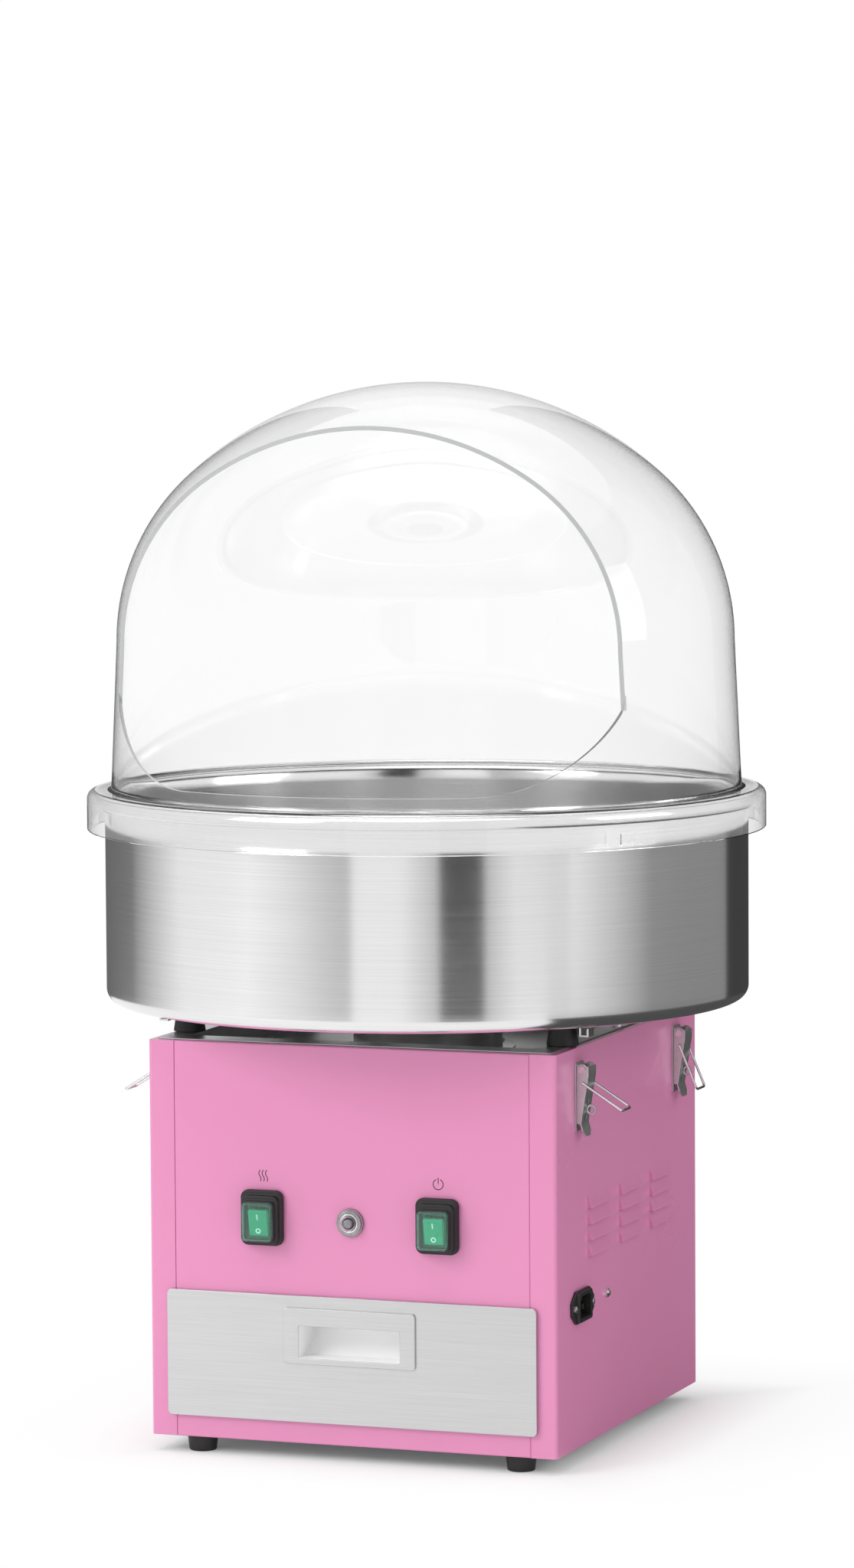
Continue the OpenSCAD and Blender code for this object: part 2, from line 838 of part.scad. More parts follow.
module feet() {
    color("black") four_corners(foot_x, foot_y) difference() {
        cylinder(r1 = foot_tip_r, r2 = foot_r, h = foot_h);
        translate([0, 0, -over]) cylinder(r = screw_head_r + slip, h = foot_recess_h + over);
        cylinder(r = screw_r + fit, h = foot_h + over);
    }
}

module foot_screws() {
    color("silver") four_corners(foot_x, foot_y) translate([0, 0, foot_recess_h])
        rotate([180, 0, 0]) pan_screw(screw_head_r, screw_head_h, screw_r,
            foot_h - foot_recess_h + 5 * sheet_t);
}

// The two tray screws and the six screws of the back panel
module cabinet_screws() {
    color("silver") for (m = [0, 1]) mirror([m, 0, 0]) {
        translate([tray_screw_x, tray_screw_y, tray_z])
            pan_screw(screw_head_r, screw_head_h, screw_r, tray_t + 4 * sheet_t);
        back_screw_places() rotate([-90, 0, 0])
            pan_screw(screw_head_r, screw_head_h, screw_r, 4 * sheet_t);
    }
}

// Tray, bowl supports and guard ring

module tray() {
    color("silver") difference() {
        union() {
            translate([0, 0, cab_top]) linear_extrude(tray_t)
                rrect(cabinet_w - 2 * tray_inset, cabinet_d - 2 * tray_inset, bend_r);
            translate([0, 0, floor_low]) linear_extrude(basin_drop + tray_t)
                rrect(basin_w + 2 * tray_t, basin_d + 2 * tray_t, basin_r + tray_t);
        }
        translate([0, 0, basin_z]) linear_extrude(basin_drop + over)
            rrect(basin_w, basin_d, basin_r);
        translate([0, 0, floor_low - over]) cylinder(r = basin_hole_r, h = tray_t + 2 * over);
        around(4, 45) translate([leg_ring_r, 0, floor_low - over])
            cylinder(r = screw_r + fit, h = tray_t + 2 * over);
        four_corners(post_x, post_y) translate([0, 0, cab_top - over])
            cylinder(r = screw_r + fit, h = tray_t + 2 * over);
        for (sx = [-1, 1]) translate([sx * tray_screw_x, tray_screw_y, cab_top - over])
            cylinder(r = screw_r + fit, h = tray_t + 2 * over);
    }
}

module bowl_posts() {
    color("dimgray") four_corners(post_x, post_y) translate([0, 0, tray_z]) difference() {
        cylinder(r1 = post_r, r2 = post_top_r, h = post_h);
        translate([0, 0, post_h - post_recess_h])
            cylinder(r = post_recess_r, h = post_recess_h + over);
        translate([0, 0, -over]) cylinder(r = screw_r + fit, h = post_h);
    }
}

module post_screws() {
    color("silver") four_corners(post_x, post_y)
        translate([0, 0, tray_z + post_h - post_recess_h])
            pan_screw(screw_head_r, screw_head_h, screw_r,
                post_h - post_recess_h + tray_t + 3 * sheet_t);
}

module guard_ring() {
    color("silver") difference() {
        translate([0, 0, basin_z]) union() {
            ring(guard_r, guard_r - guard_t, guard_top - basin_z);
            ring(guard_r + guard_flange_w, guard_r - guard_t, guard_t);
        }
        rotate([0, 0, notch_angle]) translate([guard_r, 0, guard_top])
            cube([guard_r, notch_w, 2 * notch_h], center = true);
        around(4, 45) translate([leg_ring_r, 0, basin_z - over])
            cylinder(r = screw_r + fit, h = guard_t + 2 * over);
    }
}

// Motor and brushes

module motor_bracket() {
    color("gray") difference() {
        union() {
            translate([0, 0, bracket_z]) cylinder(r = bracket_r, h = bracket_t);
            around(4, 45) translate([leg_ring_r, 0, bracket_z + bracket_t])
                cylinder(r = leg_r, h = leg_h);
        }
        translate([0, 0, bracket_z - over]) {
            cylinder(r = bracket_hole_r, h = bracket_t + 2 * over);
            around(4, 45) {
                translate([leg_ring_r, 0, 0])
                    cylinder(r = screw_r + fit, h = bracket_t + leg_h + 2 * over);
                translate([motor_bolt_r, 0, 0])
                    cylinder(r = screw_r + fit, h = bracket_t + 2 * over);
            }
        }
    }
}

// Screws of the guard ring and bracket, and those that hold the motor
module motor_screws() {
    color("silver") {
        around(4, 45) translate([leg_ring_r, 0, basin_z + guard_t])
            pan_screw(screw_head_r, screw_head_h, screw_r,
                guard_t + tray_t + leg_h + bracket_t);
        around(4, 45) translate([motor_bolt_r, 0, bracket_z + bracket_t])
            pan_screw(screw_head_r, screw_head_h, screw_r, bracket_t + bell_t);
    }
}

module motor_case() {
    color("dimgray") difference() {
        translate([0, 0, motor_low]) cylinder(r = motor_r, h = motor_h);
        translate([0, 0, motor_low + bell_t])
            cylinder(r = motor_r - motor_wall, h = motor_h - 2 * bell_t);
        translate([0, 0, motor_low - over])
            cylinder(r = shaft_r + run, h = motor_h + 2 * over);
        for (z = [motor_low - over, motor_top - bearing_t]) translate([0, 0, z])
            cylinder(r = bearing_r + fit, h = bearing_t + over);
        around(4, 45) translate([motor_bolt_r, 0, motor_top - bell_t])
            cylinder(r = screw_r + fit, h = bell_t + over);
    }
}

module motor_bearings() {
    color("silver") for (z = [motor_low, motor_top - bearing_t]) translate([0, 0, z])
        ring(bearing_r, shaft_r + fit, bearing_t);
}

module brush_holder() {
    color("saddlebrown") difference() {
        translate([holder_x, -holder_d / 2, bracket_z + bracket_t])
            cube([holder_w, holder_d, holder_h]);
        for (z = [ring_z, ring_z + ring_pitch])
            translate([holder_x - over, -brush_w / 2, z + (ring_t - brush_t) / 2])
                cube([holder_w, brush_w, brush_t]);
    }
}

module carbon_brushes() {
    color("black") for (z = [ring_z, ring_z + ring_pitch])
        translate([ring_r + run, -brush_w / 2, z + (ring_t - brush_t) / 2])
            cube([brush_len, brush_w, brush_t]);
}

// Switches and reset button

module both_switches(z) {
    for (sx = [-1, 1]) translate([sx * switch_x, -front_y, z]) children();
}

module surround_step(k, t) {
    forward(0, t) translate([0, -k * switch_sink / 2])
        rrect(surround_w - k * step_w, surround_h - k * step_h, surround_r - k);
}

module switch_surrounds() {
    color("black") both_switches(switch_z) difference() {
        union() {
            surround_step(0, step_one_t);
            surround_step(1, step_two_t);
            surround_step(2, step_three_t);
        }
        translate([0, 0, -switch_sink]) {
            forward(over, neck_out + slip + over)
                square([neck_w + slip, neck_h + slip], center = true);
            forward(-neck_out, step_three_t)
                rrect(cap_w - 2 * cap_t, cap_h - 2 * cap_t, cap_r - cap_t);
        }
    }
}

module switch_caps() {
    color("mediumaquamarine", 0.5) both_switches(rocker_z) difference() {
        forward(-step_three_t, cap_rise) rrect(cap_w, cap_h, cap_r);
        forward(over - step_three_t, cap_rise - cap_t + over)
            rrect(cap_w - 2 * cap_t, cap_h - 2 * cap_t, cap_r - cap_t);
    }
}

module switch_bodies() {
    color("dimgray") both_switches(rocker_z) difference() {
        union() {
            forward(sheet_t + switch_d, switch_d) square([body_w, body_h], center = true);
            forward(sheet_t + over, neck_out + sheet_t + over)
                square([neck_w, neck_h], center = true);
            for (dz = [-1, 1])
                translate([-blade_w / 2, sheet_t + switch_d - over, dz * body_h / 4])
                    cube([blade_w, blade_len + over, blade_t]);
        }
        forward(well_d - neck_out, well_d + over) square([well_w, well_h], center = true);
        translate([0, -pivot_y, 0]) rotate([0, 90, 0])
            cylinder(r = trunnion_r + fit, h = neck_w + over, center = true);
    }
}

// Rocker about its pivot, with its upper edge pushed out
module rocker() {
    rotate([rocker_tilt, 0, 0]) {
        rotate([90, 0, 90]) linear_extrude(rocker_w, center = true)
            polygon([[-rocker_face, -rocker_h / 2], [-rocker_face, rocker_h / 2],
                [step_w - rocker_face, rocker_h / 2], [trunnion_r * 2, trunnion_r * 2],
                [trunnion_r * 2, -trunnion_r * 2], [step_w - rocker_face, -rocker_h / 2]]);
        rotate([0, 90, 0]) cylinder(r = trunnion_r, h = neck_w, center = true);
    }
}

module rocker_heat() {
    color("mediumseagreen") translate([-switch_x, -front_y - pivot_y, rocker_z]) rocker();
}

module rocker_power() {
    color("mediumseagreen") translate([switch_x, -front_y - pivot_y, rocker_z]) rocker();
}

module reset_breaker() {
    color("dimgray") translate([0, -front_y, reset_z]) difference() {
        union() {
            forward(sheet_t + breaker_d, breaker_d)
                square([breaker_w, breaker_h], center = true);
            forward(sheet_t + over, sheet_t + over + nut_t) circle(bush_r);
        }
        forward(breaker_d, breaker_d + nut_t + over) circle(button_r + fit);
    }
}

module reset_ring_nut() {
    color("lightgray") translate([0, -front_y, reset_z]) difference() {
        union() {
            forward(0, nut_t / 2) circle(nut_r);
            rotate([90, 0, 0]) translate([0, 0, nut_t / 2])
                cylinder(r1 = nut_r, r2 = boot_r + boot_t, h = nut_t / 2);
        }
        forward(over, nut_t + 2 * over) circle(bush_r + fit);
    }
}

// Clear dome over the button, standing on the ring nut
module reset_boot() {
    color("white", 0.5) translate([0, -front_y - nut_t, reset_z]) rotate([90, 0, 0])
        difference() {
            union() {
                cylinder(r = boot_r, h = boot_wall_h);
                translate([0, 0, boot_wall_h]) intersection() {
                    sphere(boot_r);
                    cylinder(r = boot_r + over, h = boot_r + over);
                }
            }
            translate([0, 0, -over]) cylinder(r = boot_r - boot_t, h = boot_wall_h + over);
            translate([0, 0, boot_wall_h]) sphere(boot_r - boot_t);
        }
}

module reset_button() {
    color("whitesmoke") translate([0, -front_y, reset_z])
        forward(breaker_d / 3, breaker_d / 3 + button_out) circle(button_r);
}

// Mains inlet, earth screw and wiring

module inlet_body() {
    color("black") translate([side_x, -inlet_y, inlet_z]) difference() {
        union() {
            rightward(0, inlet_t) polygon([
                [-inlet_w / 2, -inlet_end_h / 2], [-inlet_rim_w / 2, -inlet_h / 2],
                [inlet_rim_w / 2, -inlet_h / 2], [inlet_w / 2, -inlet_end_h / 2],
                [inlet_w / 2, inlet_end_h / 2], [inlet_rim_w / 2, inlet_h / 2],
                [-inlet_rim_w / 2, inlet_h / 2], [-inlet_w / 2, inlet_end_h / 2]]);
            rightward(0, inlet_t + socket_rise)
                rrect(inlet_rim_w, inlet_rim_h, socket_rim);
            rightward(inlet_t - inlet_body_d, inlet_body_d) inlet_outline(0);
        }
        rightward(inlet_t + socket_rise - socket_d, socket_d + over) polygon([
            [-socket_w / 2, -socket_h / 2], [socket_w / 2, -socket_h / 2],
            [socket_w / 2, socket_h / 2 - socket_chamfer],
            [socket_w / 2 - socket_chamfer, socket_h / 2],
            [socket_chamfer - socket_w / 2, socket_h / 2],
            [-socket_w / 2, socket_h / 2 - socket_chamfer]]);
        for (s = [-1, 1]) translate([-over, s * inlet_pitch / 2, 0]) rotate([0, 90, 0])
            cylinder(r = small_screw_r + fit, h = inlet_t + 2 * over);
        for (k = [-1, 0, 1])
            translate([-inlet_body_d, k * pin_y - pin_t / 2,
                (k == 0 ? pin_z : -pin_z) - pin_w / 2])
                cube([inlet_body_d, pin_t, pin_w]);
    }
}

module inlet_pins() {
    color("gold") for (k = [-1, 0, 1])
        translate([side_x + inlet_t - inlet_body_d - pin_len / 2,
            k * pin_y - pin_t / 2 - inlet_y, inlet_z + (k == 0 ? pin_z : -pin_z) - pin_w / 2])
            cube([pin_len * 3 / 2 + inlet_body_d - socket_d, pin_t, pin_w]);
}

module inlet_screws() {
    color("silver") for (s = [-1, 1])
        translate([side_x + inlet_t, s * inlet_pitch / 2 - inlet_y, inlet_z])
            rotate([0, 90, 0]) pan_screw(small_head_r, small_head_h, small_screw_r,
                inlet_t + 3 * sheet_t);
}

module earth_screw() {
    color("silver") translate([side_x, -earth_y, earth_z]) rotate([0, 90, 0]) {
        cylinder(r = earth_r, h = earth_h / 2);
        translate([0, 0, earth_h / 2])
            cylinder(r1 = earth_r, r2 = earth_r / 2, h = earth_h / 2);
        translate([0, 0, -6 * sheet_t]) cylinder(r = screw_r, h = 6 * sheet_t);
    }
}

// Round lead through a list of points
module lead(points) {
    for (i = [0 : len(points) - 2]) {
        d = points[i + 1] - points[i];
        translate(points[i])
            rotate([0, acos(d[2] / norm(d)), atan2(d[1], d[0])])
                cylinder(r = lead_r, h = norm(d));
    }
    for (i = [1 : len(points) - 2]) translate(points[i]) sphere(lead_r + fit);
}

// Leads from the inlet to the switches, and on to the motor and the brushes
module wiring() {
    blade_y = sheet_t + switch_d + blade_len - front_y + fit;
    high = rocker_z + body_h / 4 + blade_t / 2;
    low = rocker_z - body_h / 4 + blade_t / 2;
    pin_end = side_x + inlet_t - inlet_body_d - pin_len / 2 - fit;
    live = [pin_end, -pin_y - inlet_y, inlet_z - pin_z];
    neutral = [pin_end, pin_y - inlet_y, inlet_z - pin_z];
    earth = [pin_end, -inlet_y, inlet_z + pin_z];
    gap_z = bracket_z + bracket_t + leg_h / 2;
    rim_x = bracket_r + 2 * lead_drop;
    color("firebrick") {
        lead([live, live - [3 * lead_drop, 0, 0], [switch_x, blade_y + lead_drop, low],
            [switch_x, blade_y, low]]);
        lead([[switch_x, blade_y, high], [switch_x, lead_y, high], [switch_x / 2, lead_y, lead_z],
            [-switch_x / 2, lead_y, lead_z], [-switch_x, lead_y, low],
            [-switch_x, blade_y, low]]);
        lead([[-switch_x, blade_y, high], [-switch_x, blade_y + lead_drop, high],
            [-switch_x, lead_y + lead_drop, lead_z + lead_drop],
            [rim_x, -rim_x, gap_z - lead_drop], [rim_x, 0, gap_z],
            [holder_x + holder_w, 0, gap_z]]);
        lead([neutral, neutral - [3 * lead_drop, 0, 0],
            [motor_r + 2 * lead_drop, 0, motor_low + bell_t], [motor_r, 0, motor_low + bell_t]]);
        lead([earth, earth - [3 * lead_drop, 0, 0], earth - [5 * lead_drop, 0, -lead_drop],
            [side_x - 5 * lead_drop, -earth_y, earth_z],
            [side_x - 6 * sheet_t, -earth_y, earth_z]]);
    }
}

// Drawer

module drawer_runners() {
    color("silver") for (m = [0, 1]) mirror([m, 0, 0])
        translate([runner_x, runner_back - runner_len / 2, lip_z + sheet_t])
            along_y(runner_len) {
                square([sheet_t, runner_h]);
                square([runner_foot_w, sheet_t]);
                translate([-shelf_w, shelf_rise - sheet_t])
                    square([shelf_w + sheet_t, sheet_t]);
            }
}

module drawer_box() {
    color("silver") difference() {
        translate([0, drawer_d / 2 - box_y, drawer_z]) linear_extrude(drawer_h)
            rrect(drawer_w, drawer_d, drawer_corner_r);
        translate([0, drawer_d / 2 - box_y, drawer_z + drawer_t]) linear_extrude(drawer_h)
            rrect(drawer_w - 2 * drawer_t, drawer_d - 2 * drawer_t, drawer_corner_r - drawer_t);
        grip_cut();
    }
}

// Clearance through the drawer's front for the finger scoop
module grip_cut() {
    forward(over - box_y + drawer_t, drawer_t * 2 + 2 * over) translate([0, grip_z])
        square([grip_w + 2 * (scoop_t + slip), grip_h + 2 * (scoop_t + slip)], center = true);
}

// Folded front: a face with a narrow edge turned back all round
module drawer_front() {
    color("lightgray") difference() {
        forward(front_t - door_y, front_t) translate([0, front_z])
            rrect(front_w, front_h, front_r);
        forward(front_t + over - door_y, front_t - drawer_t + over) translate([0, front_z])
            rrect(front_w - 2 * drawer_t, front_h - 2 * drawer_t, front_r - drawer_t);
        grip_cut();
    }
}

// Side outline of the scoop's hollow behind its mouth; depth runs along +X
module scoop_hollow(grow) {
    intersection() {
        union() {
            translate([0, -scoop_r - grow]) square([scoop_flat, 2 * (scoop_r + grow)]);
            translate([scoop_flat, 0]) circle(scoop_r + grow);
        }
        translate([-over, -grip_h - grow]) square([scoop_d + 2 * over, grip_h + 2 * grow]);
    }
}

// Raised plate and the pressed scoop behind it
module drawer_handle() {
    color("lightgray") translate([0, -door_y, grip_z]) {
        forward(0, handle_t) difference() {
            translate([0, grip_drop]) rrect(handle_w, handle_h, handle_r);
            square([grip_w, grip_h], center = true);
        }
        translate([0, 0, grip_h / 2]) difference() {
            rotate([90, 0, 90]) linear_extrude(grip_w + 2 * scoop_t, center = true)
                difference() {
                    scoop_hollow(scoop_t);
                    translate([-scoop_r - over, -scoop_r]) square([scoop_r + over, 2 * scoop_r]);
                }
            rotate([90, 0, 90]) linear_extrude(grip_w, center = true) {
                scoop_hollow(0);
                translate([-over, -grip_h]) square([2 * over, grip_h]);
            }
        }
    }
}

// Latches

// Places a piece of a latch drawn for the right-hand face, at the origin's height
module latch_at(sx, sy) {
    mirror([sx < 0 ? 1 : 0, 0, 0]) translate([side_x, sy * latch_y, 0]) children();
}

module every_latch() {
    for (sx = [-1, 1], sy = [-1, 1]) latch_at(sx, sy) children();
}

module latch_bases() {
    color("silver") every_latch() difference() {
        union() {
            translate([0, -lever_w / 2, latch_z - latch_h]) cube([latch_t, lever_w, latch_h]);
            for (s = [-1, 1]) translate([0, s * (ear_y - latch_t / 2), pivot_z]) {
                translate([pivot_out, 0, 0]) along_y(latch_t) circle(ear_r);
                along_y(latch_t) translate([0, -ear_r]) square([pivot_out, 2 * ear_r]);
            }
            translate([eye_out, 0, pivot_z - eye_drop]) along_y(latch_t) circle(eye_r);
            translate([0, 0, pivot_z - eye_drop]) along_y(latch_t)
                translate([0, -eye_stem_h / 2]) square([eye_out, eye_stem_h]);
        }
        translate([pivot_out, 0, pivot_z]) along_y(lever_w) circle(pivot_r + fit);
        translate([eye_out, 0, pivot_z - eye_drop]) along_y(lever_w) circle(eye_hole_r);
        for (d = [rivet_drop_one, rivet_drop_two]) translate([0, 0, latch_z - d])
            rotate([0, 90, 0]) cylinder(r = rivet_r + fit, h = 4 * latch_t, center = true);
    }
}

// Pivot pins of the levers, and the rivets that hold the base plates
module latch_rivets() {
    color("silver") {
        every_latch() translate([pivot_out, 0, pivot_z]) {
            along_y(lever_w + 2 * run) circle(pivot_r);
            for (s = [-1, 1]) translate([0, s * (lever_w / 2 + run + rivet_head_h / 2), 0])
                along_y(rivet_head_h) circle(rivet_head_r);
        }
        for (m = [0, 1]) mirror([m, 0, 0]) latch_rivet_places() rotate([0, 90, 0]) {
            translate([0, 0, -sheet_t]) cylinder(r = rivet_r, h = sheet_t + latch_t);
            translate([0, 0, latch_t]) cylinder(r = rivet_head_r, h = rivet_head_h);
            translate([0, 0, -sheet_t - rivet_head_h])
                cylinder(r = rivet_head_r, h = rivet_head_h);
        }
    }
}

// Side outline of a lever's web about the pivot: from the top down to the tip
module web_outline() {
    top_x = lever_top_out - pivot_out;
    low_x = lever_low_out - pivot_out;
    polygon([[top_x - latch_t, barrel_r / 2], [top_x, barrel_r / 2], [top_x, -barrel_r],
        [low_x, -lever_len], [low_x + lever_tip_out, -lever_len - lever_tip],
        [low_x + lever_tip_out - latch_t, -lever_len - lever_tip],
        [low_x - latch_t, -lever_len], [top_x - latch_t, -barrel_r]]);
}

// Side outline of a lever's flanges about the pivot
module flange_outline() {
    inner_x = latch_t + run - pivot_out;
    circle(barrel_r);
    polygon([[inner_x, 0], [0, barrel_r / 2], [lever_top_out - pivot_out, barrel_r / 2],
        [lever_top_out - pivot_out, -barrel_r], [lever_low_out - pivot_out, -lever_len],
        [inner_x, -lever_len]]);
}

// Lever about its pivot: a web between two flanges, slotted for the padlock eye
module lever() {
    difference() {
        union() {
            along_y(lever_w) web_outline();
            for (s = [-1, 1]) translate([0, s * (lever_w - latch_t) / 2, 0])
                along_y(latch_t) flange_outline();
        }
        along_y(lever_w + over) circle(pivot_r + fit);
        translate([bail_out - pivot_out, 0, -bail_drop]) along_y(lever_w + over)
            circle(wire_r + fit);
        translate([-pivot_out, -slot_w / 2, -eye_drop - slot_h / 2])
            cube([2 * lever_top_out, slot_w, slot_h]);
        for (s = [-1, 1]) translate([0, s * lever_w / 2, -lever_len - lever_tip])
            rotate([0, 90, 0]) rotate([0, 0, 45])
                cube([tip_corner, tip_corner, 4 * pivot_out], center = true);
    }
}

// Wire bail about its eye, hanging at an angle below level
module bail(angle) {
    rotate([0, angle, 0]) {
        for (s = [-1, 1]) {
            translate([0, s * bail_y, 0]) rotate([0, 90, 0])
                cylinder(r = wire_r, h = bail_len - bail_bend_r);
            translate([0, s * bail_y, 0]) sphere(wire_r);
            translate([0, s * (bail_y + lever_w / 2 - latch_t) / 2, 0])
                along_y(bail_y - lever_w / 2 + latch_t) circle(wire_r);
            translate([bail_len - bail_bend_r, s * (bail_y - bail_bend_r), 0])
                rotate([0, 0, s < 0 ? -90 : 0])
                    rotate_extrude(angle = 90) translate([bail_bend_r, 0]) circle(wire_r);
        }
        translate([bail_len, 0, 0]) along_y(2 * (bail_y - bail_bend_r)) circle(wire_r);
    }
}

module lever_at(sx, sy) {
    color("lightgray") latch_at(sx, sy) translate([pivot_out, 0, pivot_z]) lever();
}

module bail_at(sx, sy) {
    color("gainsboro") latch_at(sx, sy) translate([bail_out, 0, bail_z])
        bail(sy < 0 ? bail_front_angle : bail_rear_angle);
}

module lever_front_right() { lever_at(1, -1); }

module lever_front_left() { lever_at(-1, -1); }

module lever_rear_right() { lever_at(1, 1); }

module lever_rear_left() { lever_at(-1, 1); }

module bail_front_right() { bail_at(1, -1); }

module bail_front_left() { bail_at(-1, -1); }

module bail_rear_right() { bail_at(1, 1); }

module bail_rear_left() { bail_at(-1, 1); }

// Spinning head

module drive_shaft() {
    color("silver") translate([0, 0, motor_low - shaft_tail])
        cylinder(r = shaft_r, h = disc_z + disc_t + hub_high - motor_low + shaft_tail);
}

module motor_rotor() {
    color("gray") translate([0, 0, motor_low + 2 * bell_t])
        ring(rotor_r, shaft_r + fit, motor_h - 4 * bell_t);
}

module slip_rings() {
    color("goldenrod") translate([0, 0, ring_z]) {
        translate([0, 0, -ring_t / 2]) ring(ring_hub_r, shaft_r + fit, ring_hub_h);
        for (z = [0, ring_pitch]) translate([0, 0, z]) ring(ring_r, shaft_r + fit, ring_t);
    }
}

module head_base() {
    color("black") difference() {
        union() {
            translate([0, 0, disc_z]) cylinder(r = disc_r, h = disc_t);
            translate([0, 0, disc_z - hub_low])
                cylinder(r = hub_r, h = hub_low + disc_t + hub_high);
            around(head_screw_count, head_screw_angle) translate([screw_ring_r, 0, disc_z])
                cylinder(r = column_r, h = head_top - drum_t - disc_z);
        }
        translate([0, 0, disc_z - hub_low - over])
            cylinder(r = shaft_r + fit, h = hub_low + disc_t + hub_high + 2 * over);
        around(head_screw_count, head_screw_angle) translate([screw_ring_r, 0, disc_z - over])
            cylinder(r = screw_r + fit, h = head_top - disc_z + over);
    }
}

// Ring of sheathed heater, its two ends turned down and led to the hub
module heating_ring() {
    color("orangered") translate([0, 0, disc_z + disc_t + heater_post_h + heater_wire_r]) {
        rotate([0, 0, heater_gap_angle / 2]) rotate_extrude(angle = 360 - heater_gap_angle)
            translate([heater_ring_r, 0]) circle(heater_wire_r);
        for (s = [-1, 1]) rotate([0, 0, s * heater_gap_angle / 2])
            translate([heater_ring_r, 0, 0]) {
                sphere(heater_wire_r);
                translate([0, 0, -heater_post_h])
                    cylinder(r = heater_wire_r, h = heater_post_h);
                translate([0, 0, -heater_post_h]) {
                    sphere(heater_wire_r);
                    rotate([0, -90, 0])
                        cylinder(r = heater_wire_r, h = heater_ring_r - hub_r - fit);
                }
            }
    }
}

module heater_posts() {
    color("white") around(heater_post_count, 180 / heater_post_count)
        translate([heater_ring_r, 0, disc_z + disc_t])
            cylinder(r = heater_post_r, h = heater_post_h);
}

module head_drum() {
    color("silver") translate([0, 0, drum_z]) difference() {
        union() {
            ring(drum_r, drum_r - drum_t, drum_h);
            translate([0, 0, drum_h - drum_t]) ring(drum_r, cone_r, drum_t);
        }
        around(head_screw_count, head_screw_angle) translate([screw_ring_r, 0, 0])
            cylinder(r = screw_r + fit, h = drum_h + over);
        around(fin_count, fin_angle) fin_screw_places() rotate([0, 90, 0])
            cylinder(r = small_screw_r + fit, h = 6 * drum_t, center = true);
    }
}

module head_cone() {
    color("silver") translate([0, 0, head_top]) difference() {
        union() {
            rotate_extrude() polygon([[cone_r - cone_t, 0], [drum_r - drum_t, 0],
                [drum_r - drum_t, cone_t], [cone_r, cone_t], [cone_top_r, cone_h],
                [cone_top_r - cone_t, cone_h], [cone_r - 2 * cone_t, cone_t]]);
            rotate_extrude() translate([cone_top_r - cone_t / 2, cone_h]) circle(cone_t);
        }
        around(head_screw_count, head_screw_angle) translate([screw_ring_r, 0, -over])
            cylinder(r = screw_r + fit, h = cone_t + 2 * over);
    }
}

module head_screws() {
    color("silver") around(head_screw_count, head_screw_angle)
        translate([screw_ring_r, 0, head_top + cone_t])
            pan_screw(screw_head_r, screw_head_h, screw_r,
                cone_t + head_top - disc_z - disc_t / 2);
}

// Places of a fin's two screws, for a fin on the +X side; local to the drum's foot
module fin_screw_places() {
    for (s = [-1, 1])
        rotate([0, 0, (fin_tab_x + s * fin_screw_pitch / 2) * 180 / (PI * drum_r)])
            translate([drum_r, 0, fin_rise + fin_screw_z
                + s * fin_screw_pitch / 2 * tan(fin_tilt)]) children();
}

// Half-round sloping blade of a fin on the +X side
module fin_blade() {
    difference() {
        translate([drum_r, 0, 0]) rotate([fin_tilt, 0, 0])
            translate([0, 0, -fin_t / 2]) cylinder(r = fin_reach, h = fin_t);
        translate([0, 0, -fin_reach]) cylinder(r = drum_r, h = 2 * fin_reach);
    }
}

// Blades and the curved tabs that hold them on the drum
module head_fins() {
    color("silver") around(fin_count, fin_angle) difference() {
        union() {
            translate([0, 0, fin_z]) fin_blade();
            intersection() {
                translate([0, 0, drum_z]) ring(drum_r + fin_tab_t, drum_r, drum_h);
                translate([drum_r, 0, fin_z]) rotate([fin_tilt, 0, 0])
                    translate([0, fin_tab_x, fin_tab_z]) rightward(-drum_r / 4, drum_r / 2)
                        rrect(fin_tab_w, fin_tab_h, bend_r);
            }
        }
        translate([0, 0, drum_z]) fin_screw_places() rotate([0, 90, 0])
            cylinder(r = small_screw_r + fit, h = 6 * drum_t, center = true);
    }
}

module fin_screws() {
    color("silver") around(fin_count, fin_angle) translate([0, 0, drum_z]) fin_screw_places()
        translate([fin_tab_t, 0, 0]) rotate([0, 90, 0])
            pan_screw(small_head_r, small_head_h, small_screw_r, fin_tab_t + 2 * drum_t);
}

// Bowl

module bowl() {
    inner_r = bowl_wall_r - bowl_t;
    low_r = bowl_corner_r - bowl_t;
    color("silver") translate([0, 0, bowl_z]) rotate_extrude() {
        translate([bowl_hole_r, 0])
            square([bowl_wall_r - bowl_corner_r - bowl_hole_r, bowl_t]);
        translate([bowl_hole_r, 0]) square([bowl_t, collar_h]);
        translate([bowl_wall_r - bowl_corner_r, bowl_corner_r]) intersection() {
            difference() {
                circle(bowl_corner_r);
                circle(low_r);
            }
            translate([0, -bowl_corner_r]) square(bowl_corner_r);
        }
        translate([inner_r, bowl_corner_r])
            square([bowl_t, bowl_h - bowl_corner_r - bead_r]);
        translate([bowl_rim_r - bead_r, bowl_h - bead_r]) circle(bead_r);
    }
}

// Hook about the panel's face: a tab under the bowl and a turned-up tip
module bowl_hooks() {
    color("silver") for (sx = [-1, 1], sy = [-1, 1])
        mirror([sx < 0 ? 1 : 0, 0, 0]) translate([side_x, sy * latch_y, bowl_z])
            along_y(hook_w) {
                translate([hook_root, -hook_t]) square([hook_inner - hook_root, hook_t]);
                translate([hook_inner - hook_t, -hook_drop]) square([hook_t, hook_drop]);
                translate([hook_inner - hook_t, -hook_drop])
                    square([hook_gap + 2 * hook_t, hook_t]);
                translate([hook_inner + hook_gap, -hook_drop]) square([hook_t, hook_tip_h]);
            }
}

// Dome

